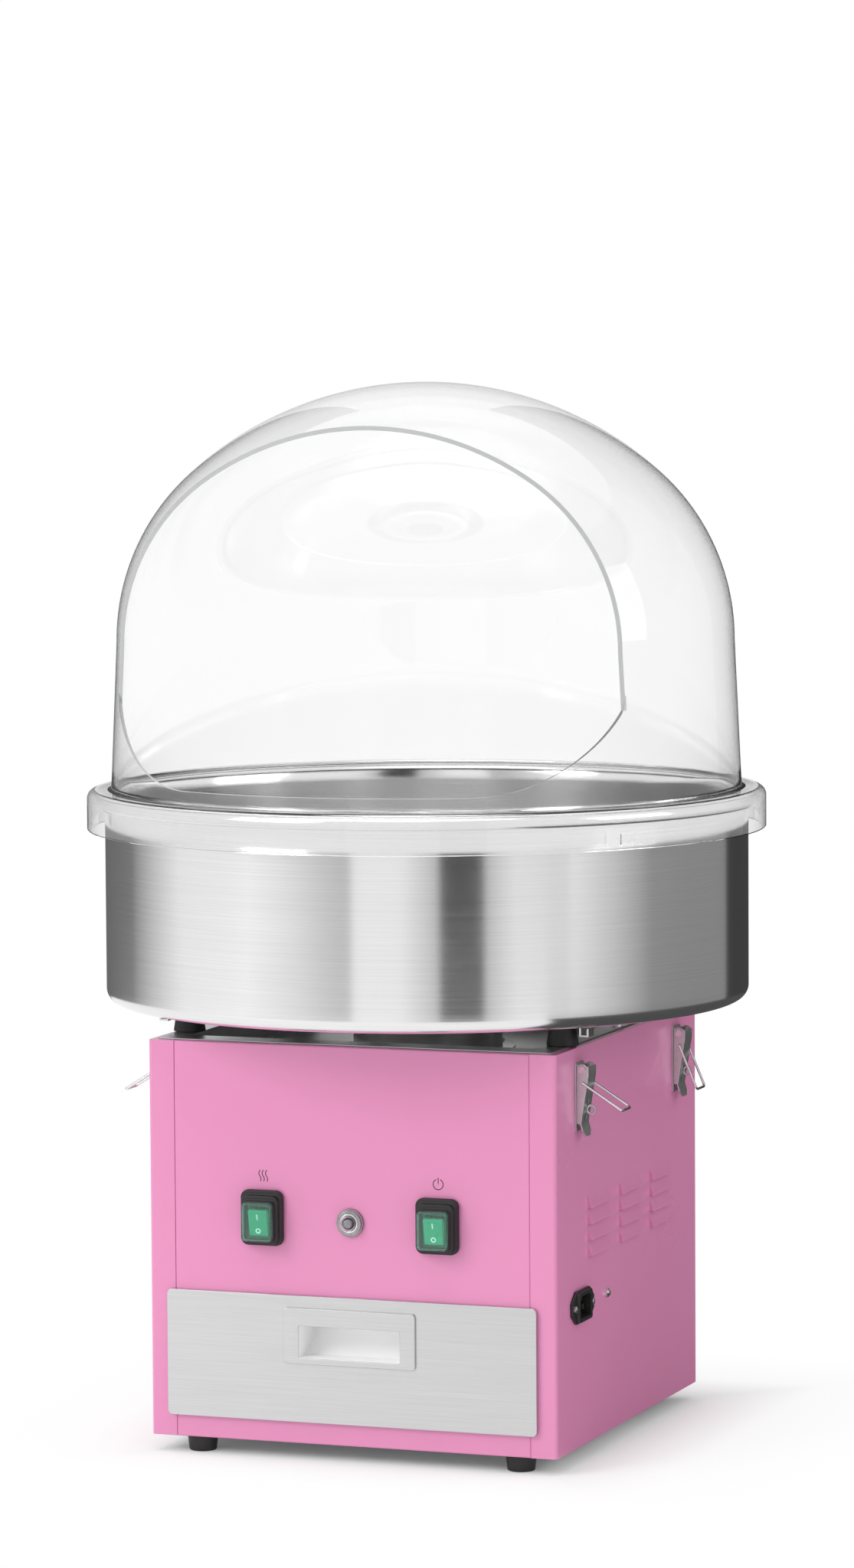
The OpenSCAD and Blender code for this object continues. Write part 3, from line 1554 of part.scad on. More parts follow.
// Half section of the dome's outer or inner surface, filled to the axis
module dome_section(inset) {
    top_r = dome_top_r - inset;
    side_r = dome_side_r - inset;
    wedge = 2 * dome_top_r;
    slope = [dome_arc_x, dome_wall_h - dome_top_z];
    polygon([[0, skirt_h], [dome_foot_r - inset, skirt_h], [dome_wall_r - inset, dome_wall_h],
        [0, dome_wall_h]]);
    translate([dome_arc_x, dome_wall_h]) intersection() {
        circle(side_r, $fn = 180);
        square(dome_h);
    }
    translate([0, dome_wall_h]) square([dome_arc_x, side_r]);
    translate([0, dome_top_z]) intersection() {
        circle(top_r, $fn = 180);
        polygon([[0, 0], [0, wedge], slope * wedge / norm(slope)]);
    }
}

// Skirt and shoulder, below the wall
module skirt_section() {
    ledge_h = skirt_h + dome_t;
    translate([skirt_r - dome_t, 0]) square([dome_t, ledge_h - shoulder_r]);
    translate([skirt_r - shoulder_r, ledge_h - shoulder_r]) intersection() {
        difference() {
            circle(shoulder_r);
            circle(shoulder_r - dome_t);
        }
        square(shoulder_r);
    }
    translate([dome_foot_r - dome_t, skirt_h])
        square([skirt_r - shoulder_r - dome_foot_r + dome_t, dome_t]);
}

// Small moulded lugs inside the skirt that snap under the bowl's rim
module skirt_lugs() {
    around(lug_count, lug_angle)
        translate([skirt_r - dome_t - lug_t, -lug_w / 2, lug_rise])
            cube([lug_t + dome_t / 2, lug_w, lug_h]);
}

module dome() {
    color("white", 0.35) translate([0, 0, dome_z]) difference() {
        union() {
            rotate_extrude($fn = 180) {
                difference() {
                    dome_section(0);
                    dome_section(dome_t);
                    square([dome_foot_r - dome_t, skirt_h + over]);
                }
                skirt_section();
            }
            skirt_lugs();
        }
        translate([0, -opening_y, 0]) rotate([90, 0, 0]) linear_extrude(dome_foot_r) {
            translate([-opening_w / 2, opening_sill + opening_r])
                square([opening_w, dome_h]);
            translate([opening_r - opening_w / 2, opening_sill])
                square([opening_w - 2 * opening_r, dome_h]);
            for (sx = [-1, 1])
                translate([sx * (opening_w / 2 - opening_r), opening_sill + opening_r])
                    circle(opening_r);
        }
    }
}

side_panel_right();
side_panel_left();
front_panel();
back_panel();
base_plate();
feet();
foot_screws();
cabinet_screws();
tray();
bowl_posts();
post_screws();
guard_ring();
motor_screws();
motor_bracket();
motor_case();
motor_bearings();
brush_holder();
carbon_brushes();
switch_surrounds();
switch_caps();
switch_bodies();
reset_breaker();
reset_ring_nut();
reset_boot();
inlet_body();
inlet_pins();
inlet_screws();
earth_screw();
wiring();
drawer_runners();
latch_bases();
latch_rivets();
lever_front_right();
lever_front_left();
lever_rear_right();
lever_rear_left();
bail_front_right();
bail_front_left();
bail_rear_right();
bail_rear_left();
drawer_box();
drawer_front();
drawer_handle();
rocker_heat();
rocker_power();
reset_button();
drive_shaft();
motor_rotor();
slip_rings();
head_base();
heating_ring();
heater_posts();
head_drum();
head_cone();
head_screws();
head_fins();
fin_screws();
bowl();
bowl_hooks();
dome();
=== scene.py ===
import math

import bmesh
import bpy
from mathutils import Matrix, Vector


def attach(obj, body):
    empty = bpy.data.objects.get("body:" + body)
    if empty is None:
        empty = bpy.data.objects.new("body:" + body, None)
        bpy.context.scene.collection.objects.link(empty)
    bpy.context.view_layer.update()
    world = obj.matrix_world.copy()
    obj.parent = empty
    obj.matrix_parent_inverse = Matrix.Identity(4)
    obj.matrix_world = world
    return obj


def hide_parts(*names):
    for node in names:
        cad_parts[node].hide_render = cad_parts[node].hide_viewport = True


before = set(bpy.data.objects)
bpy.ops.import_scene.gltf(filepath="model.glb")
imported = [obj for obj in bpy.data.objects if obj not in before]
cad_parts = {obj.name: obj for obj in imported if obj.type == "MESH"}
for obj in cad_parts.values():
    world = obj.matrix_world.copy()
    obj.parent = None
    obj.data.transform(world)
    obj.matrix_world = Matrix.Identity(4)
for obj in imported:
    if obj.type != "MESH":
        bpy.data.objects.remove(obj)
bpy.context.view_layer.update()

scene = bpy.context.scene

# Sizes that the finer pieces share with the frame
BOWL_LOW = 0.3388
BOWL_WALL_R = 0.251
BOWL_SHEET = 0.0012
BOWL_CORNER = 0.010
BOWL_HOLE_R = 0.088
COLLAR_TOP = 0.3508
RIM_TOP = 0.5008
RIM_R = 0.260
BEAD_R = 0.00475
DOME_LOW = 0.4731
DOME_SKIN = 0.003
OPENING_Y = -0.1275
OPENING_HALF = 0.21014
OPENING_SILL = DOME_LOW + 0.041
OPENING_CORNER = 0.095
CABINET_HALF_X = 0.165
PANEL_FRONT = -0.172
SEAM_X = 0.144
SEAM_ROUNDING = 0.0013
SWITCH_X = 0.071
ROCKER_PIVOT = (-0.178, 0.184)
ROCKER_TILT = math.radians(12)
RESET_Z = 0.185
LOUVRE_TOP = 0.203
LOUVRE_PITCH = 0.0123
LOUVRE_ROWS = 4
NEAR = 2e-5


# Mesh helpers

def add_object(name, mesh):
    piece = bpy.data.objects.new(name, mesh)
    scene.collection.objects.link(piece)
    return piece


def mark_sharp(bm, sharp):
    """Smooth all the faces, and keep the edges that turn by more than an angle in degrees."""
    limit = math.radians(sharp)
    for face in bm.faces:
        face.smooth = True
    for edge in bm.edges:
        edge.smooth = len(edge.link_faces) == 2 and edge.calc_face_angle(0.0) < limit


def finish_bmesh(bm, name, sharp=32.0, merge=1e-6):
    """Merge doubles, turn the faces outwards, mark the sharp edges, and make an object."""
    bmesh.ops.remove_doubles(bm, verts=bm.verts, dist=merge)
    bmesh.ops.recalc_face_normals(bm, faces=bm.faces)
    mark_sharp(bm, sharp)
    mesh = bpy.data.meshes.new(name)
    bm.to_mesh(mesh)
    bm.free()
    return add_object(name, mesh)


def lathe(profile, segments):
    """Bmesh of a closed half section turned about the Z axis; a point on the axis is a pole."""
    bm = bmesh.new()
    rings = [[bm.verts.new((r * math.cos(math.tau * k / segments),
                            r * math.sin(math.tau * k / segments), z))
              for k in range(segments if r else 1)] for r, z in profile]
    for low, high in zip(rings, rings[1:] + rings[:1]):
        if len(low) == 1 and len(high) == 1:
            continue
        for k in range(segments):
            n = (k + 1) % segments
            if len(low) == 1:
                bm.faces.new((low[0], high[n], high[k]))
            elif len(high) == 1:
                bm.faces.new((low[k], low[n], high[0]))
            else:
                bm.faces.new((low[k], low[n], high[n], high[k]))
    return bm


def close_block(bm, near, far):
    """Faces of the block between two outlines of vertices."""
    bm.faces.new(near)
    bm.faces.new(far)
    for i in range(len(near)):
        n = (i + 1) % len(near)
        bm.faces.new((near[i], near[n], far[n], far[i]))


def arc(cx, cz, r, start, end, steps):
    """Points of an arc in a half section, angles in degrees."""
    return [(cx + r * math.cos(math.radians(start + (end - start) * i / steps)),
             cz + r * math.sin(math.radians(start + (end - start) * i / steps)))
            for i in range(steps + 1)]


def evaluated_copy(piece, name):
    """Plain mesh object of a piece with its modifiers applied; the piece itself is removed."""
    graph = bpy.context.evaluated_depsgraph_get()
    mesh = bpy.data.meshes.new_from_object(piece.evaluated_get(graph))
    mesh.name = name
    bpy.data.objects.remove(piece, do_unlink=True)
    return add_object(name, mesh)


def lengthen_louvre_slopes(bm):
    """Carry each hood's slope further down, so that its end is a wedge."""
    outer_skin, inner_skin, further = 0.1683, (0.1665, 0.1675), 0.003
    outer_end, inner_end = 0.0048, 0.00555
    for vert in bm.verts:
        side = abs(vert.co.x)
        for k in range(LOUVRE_ROWS):
            top = LOUVRE_TOP - k * LOUVRE_PITCH
            outer = abs(vert.co.z - (top - outer_end)) < NEAR and side > outer_skin
            inner = (abs(vert.co.z - (top - inner_end)) < NEAR
                     and inner_skin[0] < side < inner_skin[1])
            if outer or inner:
                vert.co.z -= further
                break


def round_seams(bm):
    """Round the front panel's upright edges further, so that each seam beside it is a groove."""
    edges = [e for e in bm.edges
             if all(abs(abs(v.co.x) - SEAM_X) < NEAR and abs(v.co.y - PANEL_FRONT) < NEAR
                    for v in e.verts)]
    bmesh.ops.bevel(bm, geom=edges, offset=SEAM_ROUNDING, segments=4, profile=0.5,
                    affect="EDGES", clamp_overlap=False)


def shade_flat_sides(mesh):
    """Shade flat sides as flat, and let the roundings beside them start from the same normal."""
    flat_here, widest_turn = {}, math.cos(math.radians(30.0))
    level = [max(abs(c) for c in face.normal) > 0.99999 for face in mesh.polygons]
    for face, is_level in zip(mesh.polygons, level):
        if is_level:
            for vert in face.vertices:
                flat_here.setdefault(vert, []).append(face.normal.copy())
    normals = [corner.vector.copy() for corner in mesh.corner_normals]
    for face, is_level in zip(mesh.polygons, level):
        for loop, vert in zip(face.loop_indices, face.vertices):
            nearest = max(flat_here.get(vert, []), key=face.normal.dot, default=None)
            if is_level:
                normals[loop] = face.normal.copy()
            elif nearest and nearest.dot(face.normal) > widest_turn:
                normals[loop] = nearest
    mesh.normals_split_custom_set(normals)


def softened(node, width, segments):
    """Copy of a frame node with its doubles merged, flat faces joined and edges rounded."""
    bm = bmesh.new()
    bm.from_mesh(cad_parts[node].data)
    merge, flat, sharp = 2e-6, math.radians(2.0), math.radians(30.0)
    bmesh.ops.remove_doubles(bm, verts=bm.verts, dist=merge)
    if node.startswith("side_panel"):
        lengthen_louvre_slopes(bm)
    bmesh.ops.dissolve_degenerate(bm, edges=bm.edges, dist=merge)
    bmesh.ops.dissolve_limit(bm, angle_limit=flat, verts=bm.verts, edges=bm.edges)
    bmesh.ops.triangulate(bm, faces=bm.faces)
    if node == "front_panel":
        round_seams(bm)
    edges = [e for e in bm.edges if len(e.link_faces) == 2 and e.calc_face_angle(0.0) > sharp]
    bmesh.ops.bevel(bm, geom=edges, offset=width, segments=segments, profile=0.5,
                    affect="EDGES", clamp_overlap=False)
    piece = finish_bmesh(bm, node + "_flat", sharp=50.0, merge=1e-7)
    even = piece.modifiers.new("even_shading", "WEIGHTED_NORMAL")
    even.mode = "FACE_AREA"
    even.weight = 50
    even.keep_sharp = True
    piece = evaluated_copy(piece, node + "_finished")
    if node in ("front_panel", "drawer_front", "drawer_handle", "tray"):
        shade_flat_sides(piece.data)
    return piece


# Node helpers

def feed(tree, socket, item):
    """Give a socket a value, or the output that feeds it."""
    if isinstance(item, bpy.types.NodeSocket):
        tree.links.new(item, socket)
    else:
        socket.default_value = item


def add_node(tree, kind, inputs=(), **settings):
    """New node; each input, by name or number, is a value or the output that feeds it."""
    made = tree.nodes.new(kind)
    for label, value in settings.items():
        setattr(made, label, value)
    for label, item in dict(inputs).items():
        feed(tree, made.inputs[label], item)
    return made


SOCKET_KINDS = {float: "Float", int: "Int", tuple: "Vector"}


def new_group(kind, name, inputs, outputs):
    """Empty node group and its two end nodes; a socket is given by its kind or its first value."""
    tree = bpy.data.node_groups.new(name, kind)
    for in_out, sockets in (("INPUT", inputs), ("OUTPUT", outputs)):
        for label, item in sockets.items():
            is_kind = isinstance(item, str)
            socket = tree.interface.new_socket(
                label, in_out=in_out,
                socket_type="NodeSocket" + (item if is_kind else SOCKET_KINDS[type(item)]))
            if not is_kind:
                socket.default_value = item
    return tree, tree.nodes.new("NodeGroupInput"), tree.nodes.new("NodeGroupOutput")


def noise(tree, vector, scale, detail, rough):
    return add_node(tree, "ShaderNodeTexNoise", {
        "Vector": vector, "Scale": scale, "Detail": detail, "Roughness": rough}).outputs["Fac"]


def remap(tree, value, low, high, to_low=0.0, to_high=1.0):
    return add_node(tree, "ShaderNodeMapRange", {
        "Value": value, "From Min": low, "From Max": high, "To Min": to_low,
        "To Max": to_high}, clamp=True).outputs["Result"]


def maths(tree, kind, a, b=0.0):
    return add_node(tree, "ShaderNodeMath", {0: a, 1: b}, operation=kind).outputs[0]


# Shared effects

def effect(name, inputs, outputs):
    """Shader group that takes a place and more, and puts out values."""
    return new_group("ShaderNodeTree", name, {"Vector": "Vector", **inputs},
                     {label: "Float" for label in outputs})


def build_grain():
    """Brushed or turned metal: fine lines along the small parts of Stretch, and slow clouds."""
    tree, start, end = effect("brushed_grain", {"Stretch": (8.0, 8.0, 900.0), "Cloud Scale": 9.0},
                              ("Grain", "Cloud"))
    place = start.outputs["Vector"]
    pulled = add_node(tree, "ShaderNodeVectorMath", {0: place, 1: start.outputs["Stretch"]},
                      operation="MULTIPLY")
    feed(tree, end.inputs["Grain"], noise(tree, pulled.outputs[0], 1.0, 4.0, 0.7))
    feed(tree, end.inputs["Cloud"], noise(tree, place, start.outputs["Cloud Scale"], 2.0, 0.5))
    return tree


def build_handling():
    """Traces of use: thin scratches, and smudges from hands."""
    tree, start, end = effect("handling_marks", {"Scratch Scale": 40.0, "Smudge Scale": 14.0},
                              ("Scratches", "Smudges"))
    place = start.outputs["Vector"]
    turned = add_node(tree, "ShaderNodeMapping", {
        "Vector": place, "Rotation": (0.3, 0.5, 0.7), "Scale": (1.0, 26.0, 26.0)})
    lines = noise(tree, turned.outputs["Vector"], start.outputs["Scratch Scale"], 2.0, 0.5)
    smudge = noise(tree, place, start.outputs["Smudge Scale"], 4.0, 0.6)
    feed(tree, end.inputs["Scratches"], remap(tree, lines, 0.70, 0.76))
    feed(tree, end.inputs["Smudges"], remap(tree, smudge, 0.45, 0.68))
    return tree


def build_skin():
    """Skin of paint, rubber or moulded plastic: fine relief, and patches a little lighter."""
    tree, start, end = effect("surface_skin", {"Relief Scale": 700.0, "Patch Scale": 6.0},
                              ("Relief", "Patch"))
    for label, detail in (("Relief", 2.0), ("Patch", 3.0)):
        feed(tree, end.inputs[label], noise(tree, start.outputs["Vector"],
                                            start.outputs[label + " Scale"], detail, 0.5))
    return tree


def build_settled_dust():
    """Dust that lies on faces that look up, broken into patches."""
    tree, start, end = effect("settled_dust", {"Amount": 0.3}, ("Dust",))
    geometry = add_node(tree, "ShaderNodeNewGeometry")
    parts = add_node(tree, "ShaderNodeSeparateXYZ", {0: geometry.outputs["Normal"]})
    up = remap(tree, parts.outputs["Z"], 0.35, 0.95)
    patch = remap(tree, noise(tree, start.outputs["Vector"], 55.0, 5.0, 0.65), 0.40, 0.70)
    feed(tree, end.inputs["Dust"], maths(tree, "MULTIPLY", maths(tree, "MULTIPLY", up, patch),
                                         start.outputs["Amount"]))
    return tree


GRAIN = build_grain()
HANDLING = build_handling()
SKIN = build_skin()
DUST = build_settled_dust()


def triple(value):
    """One number three times, or three numbers as they are."""
    return (value,) * 3 if isinstance(value, float) else value


def spaced(values):
    """The same values under labels with spaces."""
    return {label.replace("_", " "): value for label, value in values.items()}


class Finish:
    """A material under construction: its shader, and the effects placed in it."""

    def __init__(self, name, **constants):
        self.material = bpy.data.materials.new(name)
        self.material.use_nodes = True
        self.material.diffuse_color = (0.6, 0.6, 0.6, 1.0)
        self.tree = self.material.node_tree
        self.tree.nodes.clear()
        self.shader = add_node(self.tree, "ShaderNodeBsdfPrincipled", spaced(constants))
        add_node(self.tree, "ShaderNodeOutputMaterial", {"Surface": self.shader.outputs["BSDF"]})
        self.place = add_node(self.tree, "ShaderNodeTexCoord").outputs["Object"]

    def use(self, group, **values):
        return add_node(self.tree, "ShaderNodeGroup", {"Vector": self.place, **spaced(values)},
                        node_tree=group).outputs

    def blend(self, mask, low, high):
        mix = add_node(self.tree, "ShaderNodeMix", {"Factor": mask}, data_type="RGBA")
        for label, item in (("A", low), ("B", high)):
            socket = next(s for s in mix.inputs if s.name == label and s.type == "RGBA")
            feed(self.tree, socket, (*item, 1.0) if isinstance(item, tuple) else item)
        return next(s for s in mix.outputs if s.type == "RGBA")

    def colour(self, source):
        feed(self.tree, self.shader.inputs["Base Color"], source)

    def roughness(self, value, rough):
        feed(self.tree, self.shader.inputs["Roughness"], remap(self.tree, value, 0.3, 0.7, *rough))

    def relief(self, height, strength, distance):
        bump = add_node(self.tree, "ShaderNodeBump", {
            "Strength": strength, "Distance": distance, "Height": height})
        feed(self.tree, self.shader.inputs["Normal"], bump.outputs["Normal"])

    def scaled(self, value, factor):
        return maths(self.tree, "MULTIPLY", value, factor)

    def plus(self, a, b):
        return maths(self.tree, "ADD", a, b)


def metal(name, light, dark, stretch, rough, anisotropic=0.0, grain_depth=2e-5, cloud=7.0,
          dust=0.12):
    """Brushed, turned or plain metal with grain, clouds, smudges and fine scratches."""
    light, dark = triple(light), triple(dark)
    finish = Finish(name, Metallic=1.0, Anisotropic=anisotropic, Anisotropic_Rotation=0.25)
    grain = finish.use(GRAIN, Stretch=triple(stretch), Cloud_Scale=cloud)
    marks = finish.use(HANDLING)
    film = finish.use(DUST, Amount=dust)
    base = finish.blend(remap(finish.tree, grain["Grain"], 0.35, 0.65), dark, light)
    base = finish.blend(finish.scaled(marks["Scratches"], 0.25), base,
                        tuple(min(1.0, c * 1.12) for c in light))
    finish.colour(finish.blend(film["Dust"], base, (0.62, 0.60, 0.57)))
    spread = finish.plus(finish.scaled(grain["Cloud"], 0.5), finish.scaled(grain["Grain"], 0.5))
    finish.roughness(finish.plus(spread, finish.scaled(marks["Smudges"], 0.12)), rough)
    finish.relief(grain["Grain"], 0.35, grain_depth)
    return finish.material


def moulded(name, light, dark, rough, relief_scale=900.0, relief=4e-5, dust=0.2, wear=1.0,
            **constants):
    """Paint, rubber or moulded plastic with a fine skin, smudges and settled dust."""
    light, dark = triple(light), triple(dark)
    finish = Finish(name, **constants)
    skin = finish.use(SKIN, Relief_Scale=relief_scale)
    marks = finish.use(HANDLING)
    film = finish.use(DUST, Amount=dust)
    base = finish.blend(remap(finish.tree, skin["Patch"], 0.3, 0.7), dark, light)
    base = finish.blend(finish.scaled(marks["Scratches"], 0.10 * wear), base,
                        tuple(min(1.0, c * 1.3 + 0.02) for c in light))
    finish.colour(finish.blend(film["Dust"], base, tuple(c * 0.6 + 0.25 for c in light)))
    finish.roughness(finish.plus(skin["Patch"], finish.scaled(marks["Smudges"], 0.15 * wear)),
                     rough)
    finish.relief(skin["Relief"], 0.4, relief)
    return finish.material


def clear(name, light, dark, rough, ior, transmission=1.0):
    """Clear plastic: plain transmission, with faint smudges in its gloss and colour."""
    finish = Finish(name, Transmission_Weight=transmission, IOR=ior, Metallic=0.0)
    skin = finish.use(SKIN, Relief_Scale=60.0, Patch_Scale=7.0)
    marks = finish.use(HANDLING, Scratch_Scale=22.0)
    finish.colour(finish.blend(remap(finish.tree, skin["Patch"], 0.35, 0.65), triple(dark),
                               triple(light)))
    finish.roughness(finish.plus(skin["Patch"], finish.scaled(marks["Smudges"], 0.3)), rough)
    finish.relief(skin["Relief"], 0.05, 5e-5)
    return finish.material


PINK = moulded("pink_powder_coat", (0.738, 0.258, 0.476), (0.722, 0.250, 0.464), (0.27, 0.31),
               relief_scale=420.0, relief=2e-5, dust=0.02, wear=0.05, Coat_Weight=0.35,
               Coat_Roughness=0.10)
BOWL_STEEL = metal("bowl_brushed_steel", 0.85, 0.78, (7.0, 7.0, 2400.0), (0.15, 0.20),
                   anisotropic=0.75, cloud=5.0, dust=0.03, grain_depth=1.2e-5)
FRONT_STEEL = metal("drawer_brushed_steel", 0.67, 0.60, (14.0, 60.0, 2600.0), (0.27, 0.33),
                    anisotropic=0.7, dust=0.02, grain_depth=6e-6)
TRAY_STEEL = metal("tray_brushed_steel", (0.66, 0.66, 0.665), (0.56, 0.56, 0.565),
                   (9.0, 900.0, 900.0), (0.26, 0.38), dust=0.16)
GUARD_STEEL = metal("guard_rolled_steel", 0.52, 0.48, (14.0, 14.0, 900.0), (0.20, 0.26), dust=0.03,
                    grain_depth=3e-6)
SHEET_STEEL = metal("inner_sheet_steel", (0.60, 0.61, 0.62), (0.50, 0.51, 0.52), 60.0,
                    (0.34, 0.50))
BRIGHT_STEEL = metal("bright_plated_steel", 0.86, 0.78, 180.0, (0.14, 0.24), grain_depth=1e-5)
LATCH_STEEL = metal("latch_stamped_steel", 0.64, 0.58, 180.0, (0.36, 0.44), grain_depth=4e-6)
NUT_STEEL = metal("reset_nut_steel", (0.44, 0.40, 0.43), (0.34, 0.31, 0.33), 180.0, (0.22, 0.34),
                  grain_depth=1e-5)
SHAFT_STEEL = metal("ground_shaft_steel", 0.80, 0.70, (30.0, 30.0, 1500.0), (0.16, 0.24))
HEAD_METAL = metal("turned_head_aluminium", 0.72, 0.67, (16.0, 16.0, 1400.0), (0.32, 0.40),
                   anisotropic=0.35, dust=0.04, grain_depth=4e-6)
FIN_METAL = metal("fin_satin_aluminium", 0.82, 0.78, 150.0, (0.40, 0.48), dust=0.02,
                  grain_depth=3e-6)
HEATER_SHEATH = metal("heater_sheath", (0.42, 0.38, 0.34), (0.24, 0.22, 0.21), 300.0, (0.45, 0.65))
BRASS = metal("inlet_brass", (0.82, 0.62, 0.30), (0.70, 0.50, 0.22), 200.0, (0.24, 0.36))
MOTOR_METAL = moulded("motor_grey_paint", (0.060, 0.062, 0.066), (0.040, 0.042, 0.045),
                      (0.42, 0.55), relief_scale=500.0, relief=6e-5, Metallic=0.3)
RUBBER = moulded("black_rubber", (0.015, 0.013, 0.015), (0.009, 0.008, 0.009), (0.42, 0.55),
                 relief_scale=1500.0, relief=3e-5, dust=0.03)
PLASTIC = moulded("black_moulded_plastic", (0.018, 0.018, 0.019), (0.011, 0.011, 0.012),
                  (0.30, 0.42), dust=0.08)
CARBON = moulded("brush_carbon", (0.030, 0.030, 0.031), (0.016, 0.016, 0.017), (0.55, 0.70))
BUTTON = moulded("grey_button_plastic", (0.36, 0.32, 0.36), (0.32, 0.29, 0.32), (0.20, 0.30),
                 dust=0.0, wear=0.1)
BOARD = moulded("brown_laminate_board", (0.30, 0.16, 0.07), (0.22, 0.11, 0.05), (0.40, 0.55))
CERAMIC = moulded("heater_ceramic", (0.84, 0.82, 0.78), (0.74, 0.72, 0.68), (0.45, 0.60))
LEADS = moulded("red_lead_insulation", (0.55, 0.035, 0.025), (0.45, 0.025, 0.02), (0.35, 0.48))
# Green rocker plastic; its emission is a painted glow that brightens the rocker behind its cap, as
# the rocker is no lamp
GREEN_PAINTED_GLOW = moulded("green_rocker_painted_glow", (0.045, 0.52, 0.31), (0.035, 0.47, 0.28), (0.18, 0.28),
                dust=0.0, Emission_Color=(0.04, 0.42, 0.27, 1.0), Emission_Strength=0.22)
# Near-white paint inside the handle's steel recess: a painted reflection of the bright
# surroundings
SCOOP_PAINTED_REFLECTION = moulded("scoop_painted_reflection", 0.98, 0.96, (0.35, 0.45), dust=0.0)
# White printed switch marks; their emission is a painted glow that lifts them through the cap
MARK_WHITE_PAINTED_GLOW = moulded("switch_mark_print_painted_glow", (0.94, 0.96, 0.95), (0.90, 0.93, 0.92), (0.35, 0.45),
                     dust=0.0, Emission_Color=(1.0, 1.0, 1.0, 1.0), Emission_Strength=0.35)
SIGN_INK = moulded("panel_sign_ink", (0.045, 0.020, 0.034), (0.035, 0.016, 0.028), (0.40, 0.50),
                   dust=0.0)
CLEAR_DOME = clear("clear_dome_plastic", 0.985, 0.975, (0.0, 0.03), 1.45)
CUT_EDGE = moulded("dome_cut_edge", (0.60, 0.61, 0.62), (0.54, 0.55, 0.56), (0.25, 0.40), dust=0.0,
                   Transmission_Weight=0.25)
CLEAR_CAP = clear("clear_cap_rubber", (0.62, 0.88, 0.78), (0.56, 0.84, 0.73), (0.0, 0.05), 1.22,
                  transmission=0.93)
BEZEL_GREEN = moulded("green_switch_bezel", (0.020, 0.20, 0.125), (0.015, 0.16, 0.10),
                      (0.25, 0.35), dust=0.0)
CLEAR_BOOT = clear("clear_boot_lens", (0.93, 0.94, 0.95), (0.90, 0.91, 0.92), (0.03, 0.08), 1.42)


# Geometry node trees

def shape_tree(name, inputs):
    """Empty geometry tree with a mesh in, a mesh out, a material and named inputs."""
    return new_group("GeometryNodeTree", name,
                     {"Geometry": "Geometry", **inputs, "Material": "Material"},
                     {"Geometry": "Geometry"})


def end_tree(tree, start, end, geometry):
    """The closing nodes of every tree: real meshes, with their material."""
    real = add_node(tree, "GeometryNodeRealizeInstances", {"Geometry": geometry})
    paint = add_node(tree, "GeometryNodeSetMaterial", {
        "Geometry": real.outputs["Geometry"], "Material": start.outputs["Material"]})
    feed(tree, end.inputs["Geometry"], paint.outputs["Geometry"])
    return tree


def vector(tree, **parts):
    return add_node(tree, "ShaderNodeCombineXYZ", parts).outputs[0]


def box(tree, **sizes):
    return add_node(tree, "GeometryNodeMeshCube", {"Size": vector(tree, **sizes)}).outputs["Mesh"]


def moved(tree, mesh, **change):
    return add_node(tree, "GeometryNodeTransform", {"Geometry": mesh, **change}).outputs[0]


def less(tree, mesh, *others):
    """The mesh without the others."""
    cut = add_node(tree, "GeometryNodeMeshBoolean", {"Mesh 1": mesh}, operation="DIFFERENCE")
    for other in others:
        feed(tree, cut.inputs["Mesh 2"], other)
    return cut.outputs["Mesh"]


def screws_tree():
    """Pan-head screws with a cross recess, one on each point, standing along its axis."""
    tree, start, end = shape_tree("pan_head_screws", {
        "Head Radius": 0.0038, "Head Height": 0.0022, "Recess Width": 0.0009})
    radius, height, width = (start.outputs[label]
                             for label in ("Head Radius", "Head Height", "Recess Width"))

    def times(value, factor):
        return maths(tree, "MULTIPLY", value, factor)

    ball = add_node(tree, "GeometryNodeMeshUVSphere", {
        "Segments": 32, "Rings": 16, "Radius": radius})
    pan = moved(tree, ball.outputs["Mesh"],
                Scale=vector(tree, X=1.0, Y=1.0, Z=maths(tree, "DIVIDE", height, radius)))
    length, lift = times(radius, 1.15), vector(tree, Z=times(height, 1.05))
    pan = less(tree, pan,
               moved(tree, box(tree, X=length, Y=width, Z=height), Translation=lift),
               moved(tree, box(tree, X=width, Y=length, Z=height), Translation=lift))
    wide = times(radius, 3.0)
    below = moved(tree, box(tree, X=wide, Y=wide, Z=wide),
                  Translation=vector(tree, Z=times(radius, -1.5)))
    axis = add_node(tree, "GeometryNodeInputNamedAttribute", {"Name": "axis"},
                    data_type="FLOAT_VECTOR")
    align = add_node(tree, "FunctionNodeAlignRotationToVector",
                     {"Vector": axis.outputs["Attribute"]}, axis="Z")
    place = add_node(tree, "GeometryNodeInstanceOnPoints", {
        "Points": start.outputs["Geometry"], "Instance": less(tree, pan, below),
        "Rotation": align.outputs["Rotation"]})
    return end_tree(tree, start, end, place.outputs["Instances"])


def ribs_tree():
    """A row of thin upright ribs across the face of a rocker."""
    tree, start, end = shape_tree("rocker_ribs", {
        "Count": 13, "Pitch": 0.001, "Rib Width": 0.0005, "Rib Depth": 0.0004,
        "Rib Height": 0.018})
    given = start.outputs
    row = add_node(tree, "GeometryNodeMeshLine", {
        "Count": given["Count"], "Offset": vector(tree, X=given["Pitch"])})
    rib = box(tree, X=given["Rib Width"], Y=given["Rib Depth"], Z=given["Rib Height"])
    place = add_node(tree, "GeometryNodeInstanceOnPoints", {
        "Points": row.outputs["Mesh"], "Instance": rib})
    return end_tree(tree, start, end, place.outputs["Instances"])


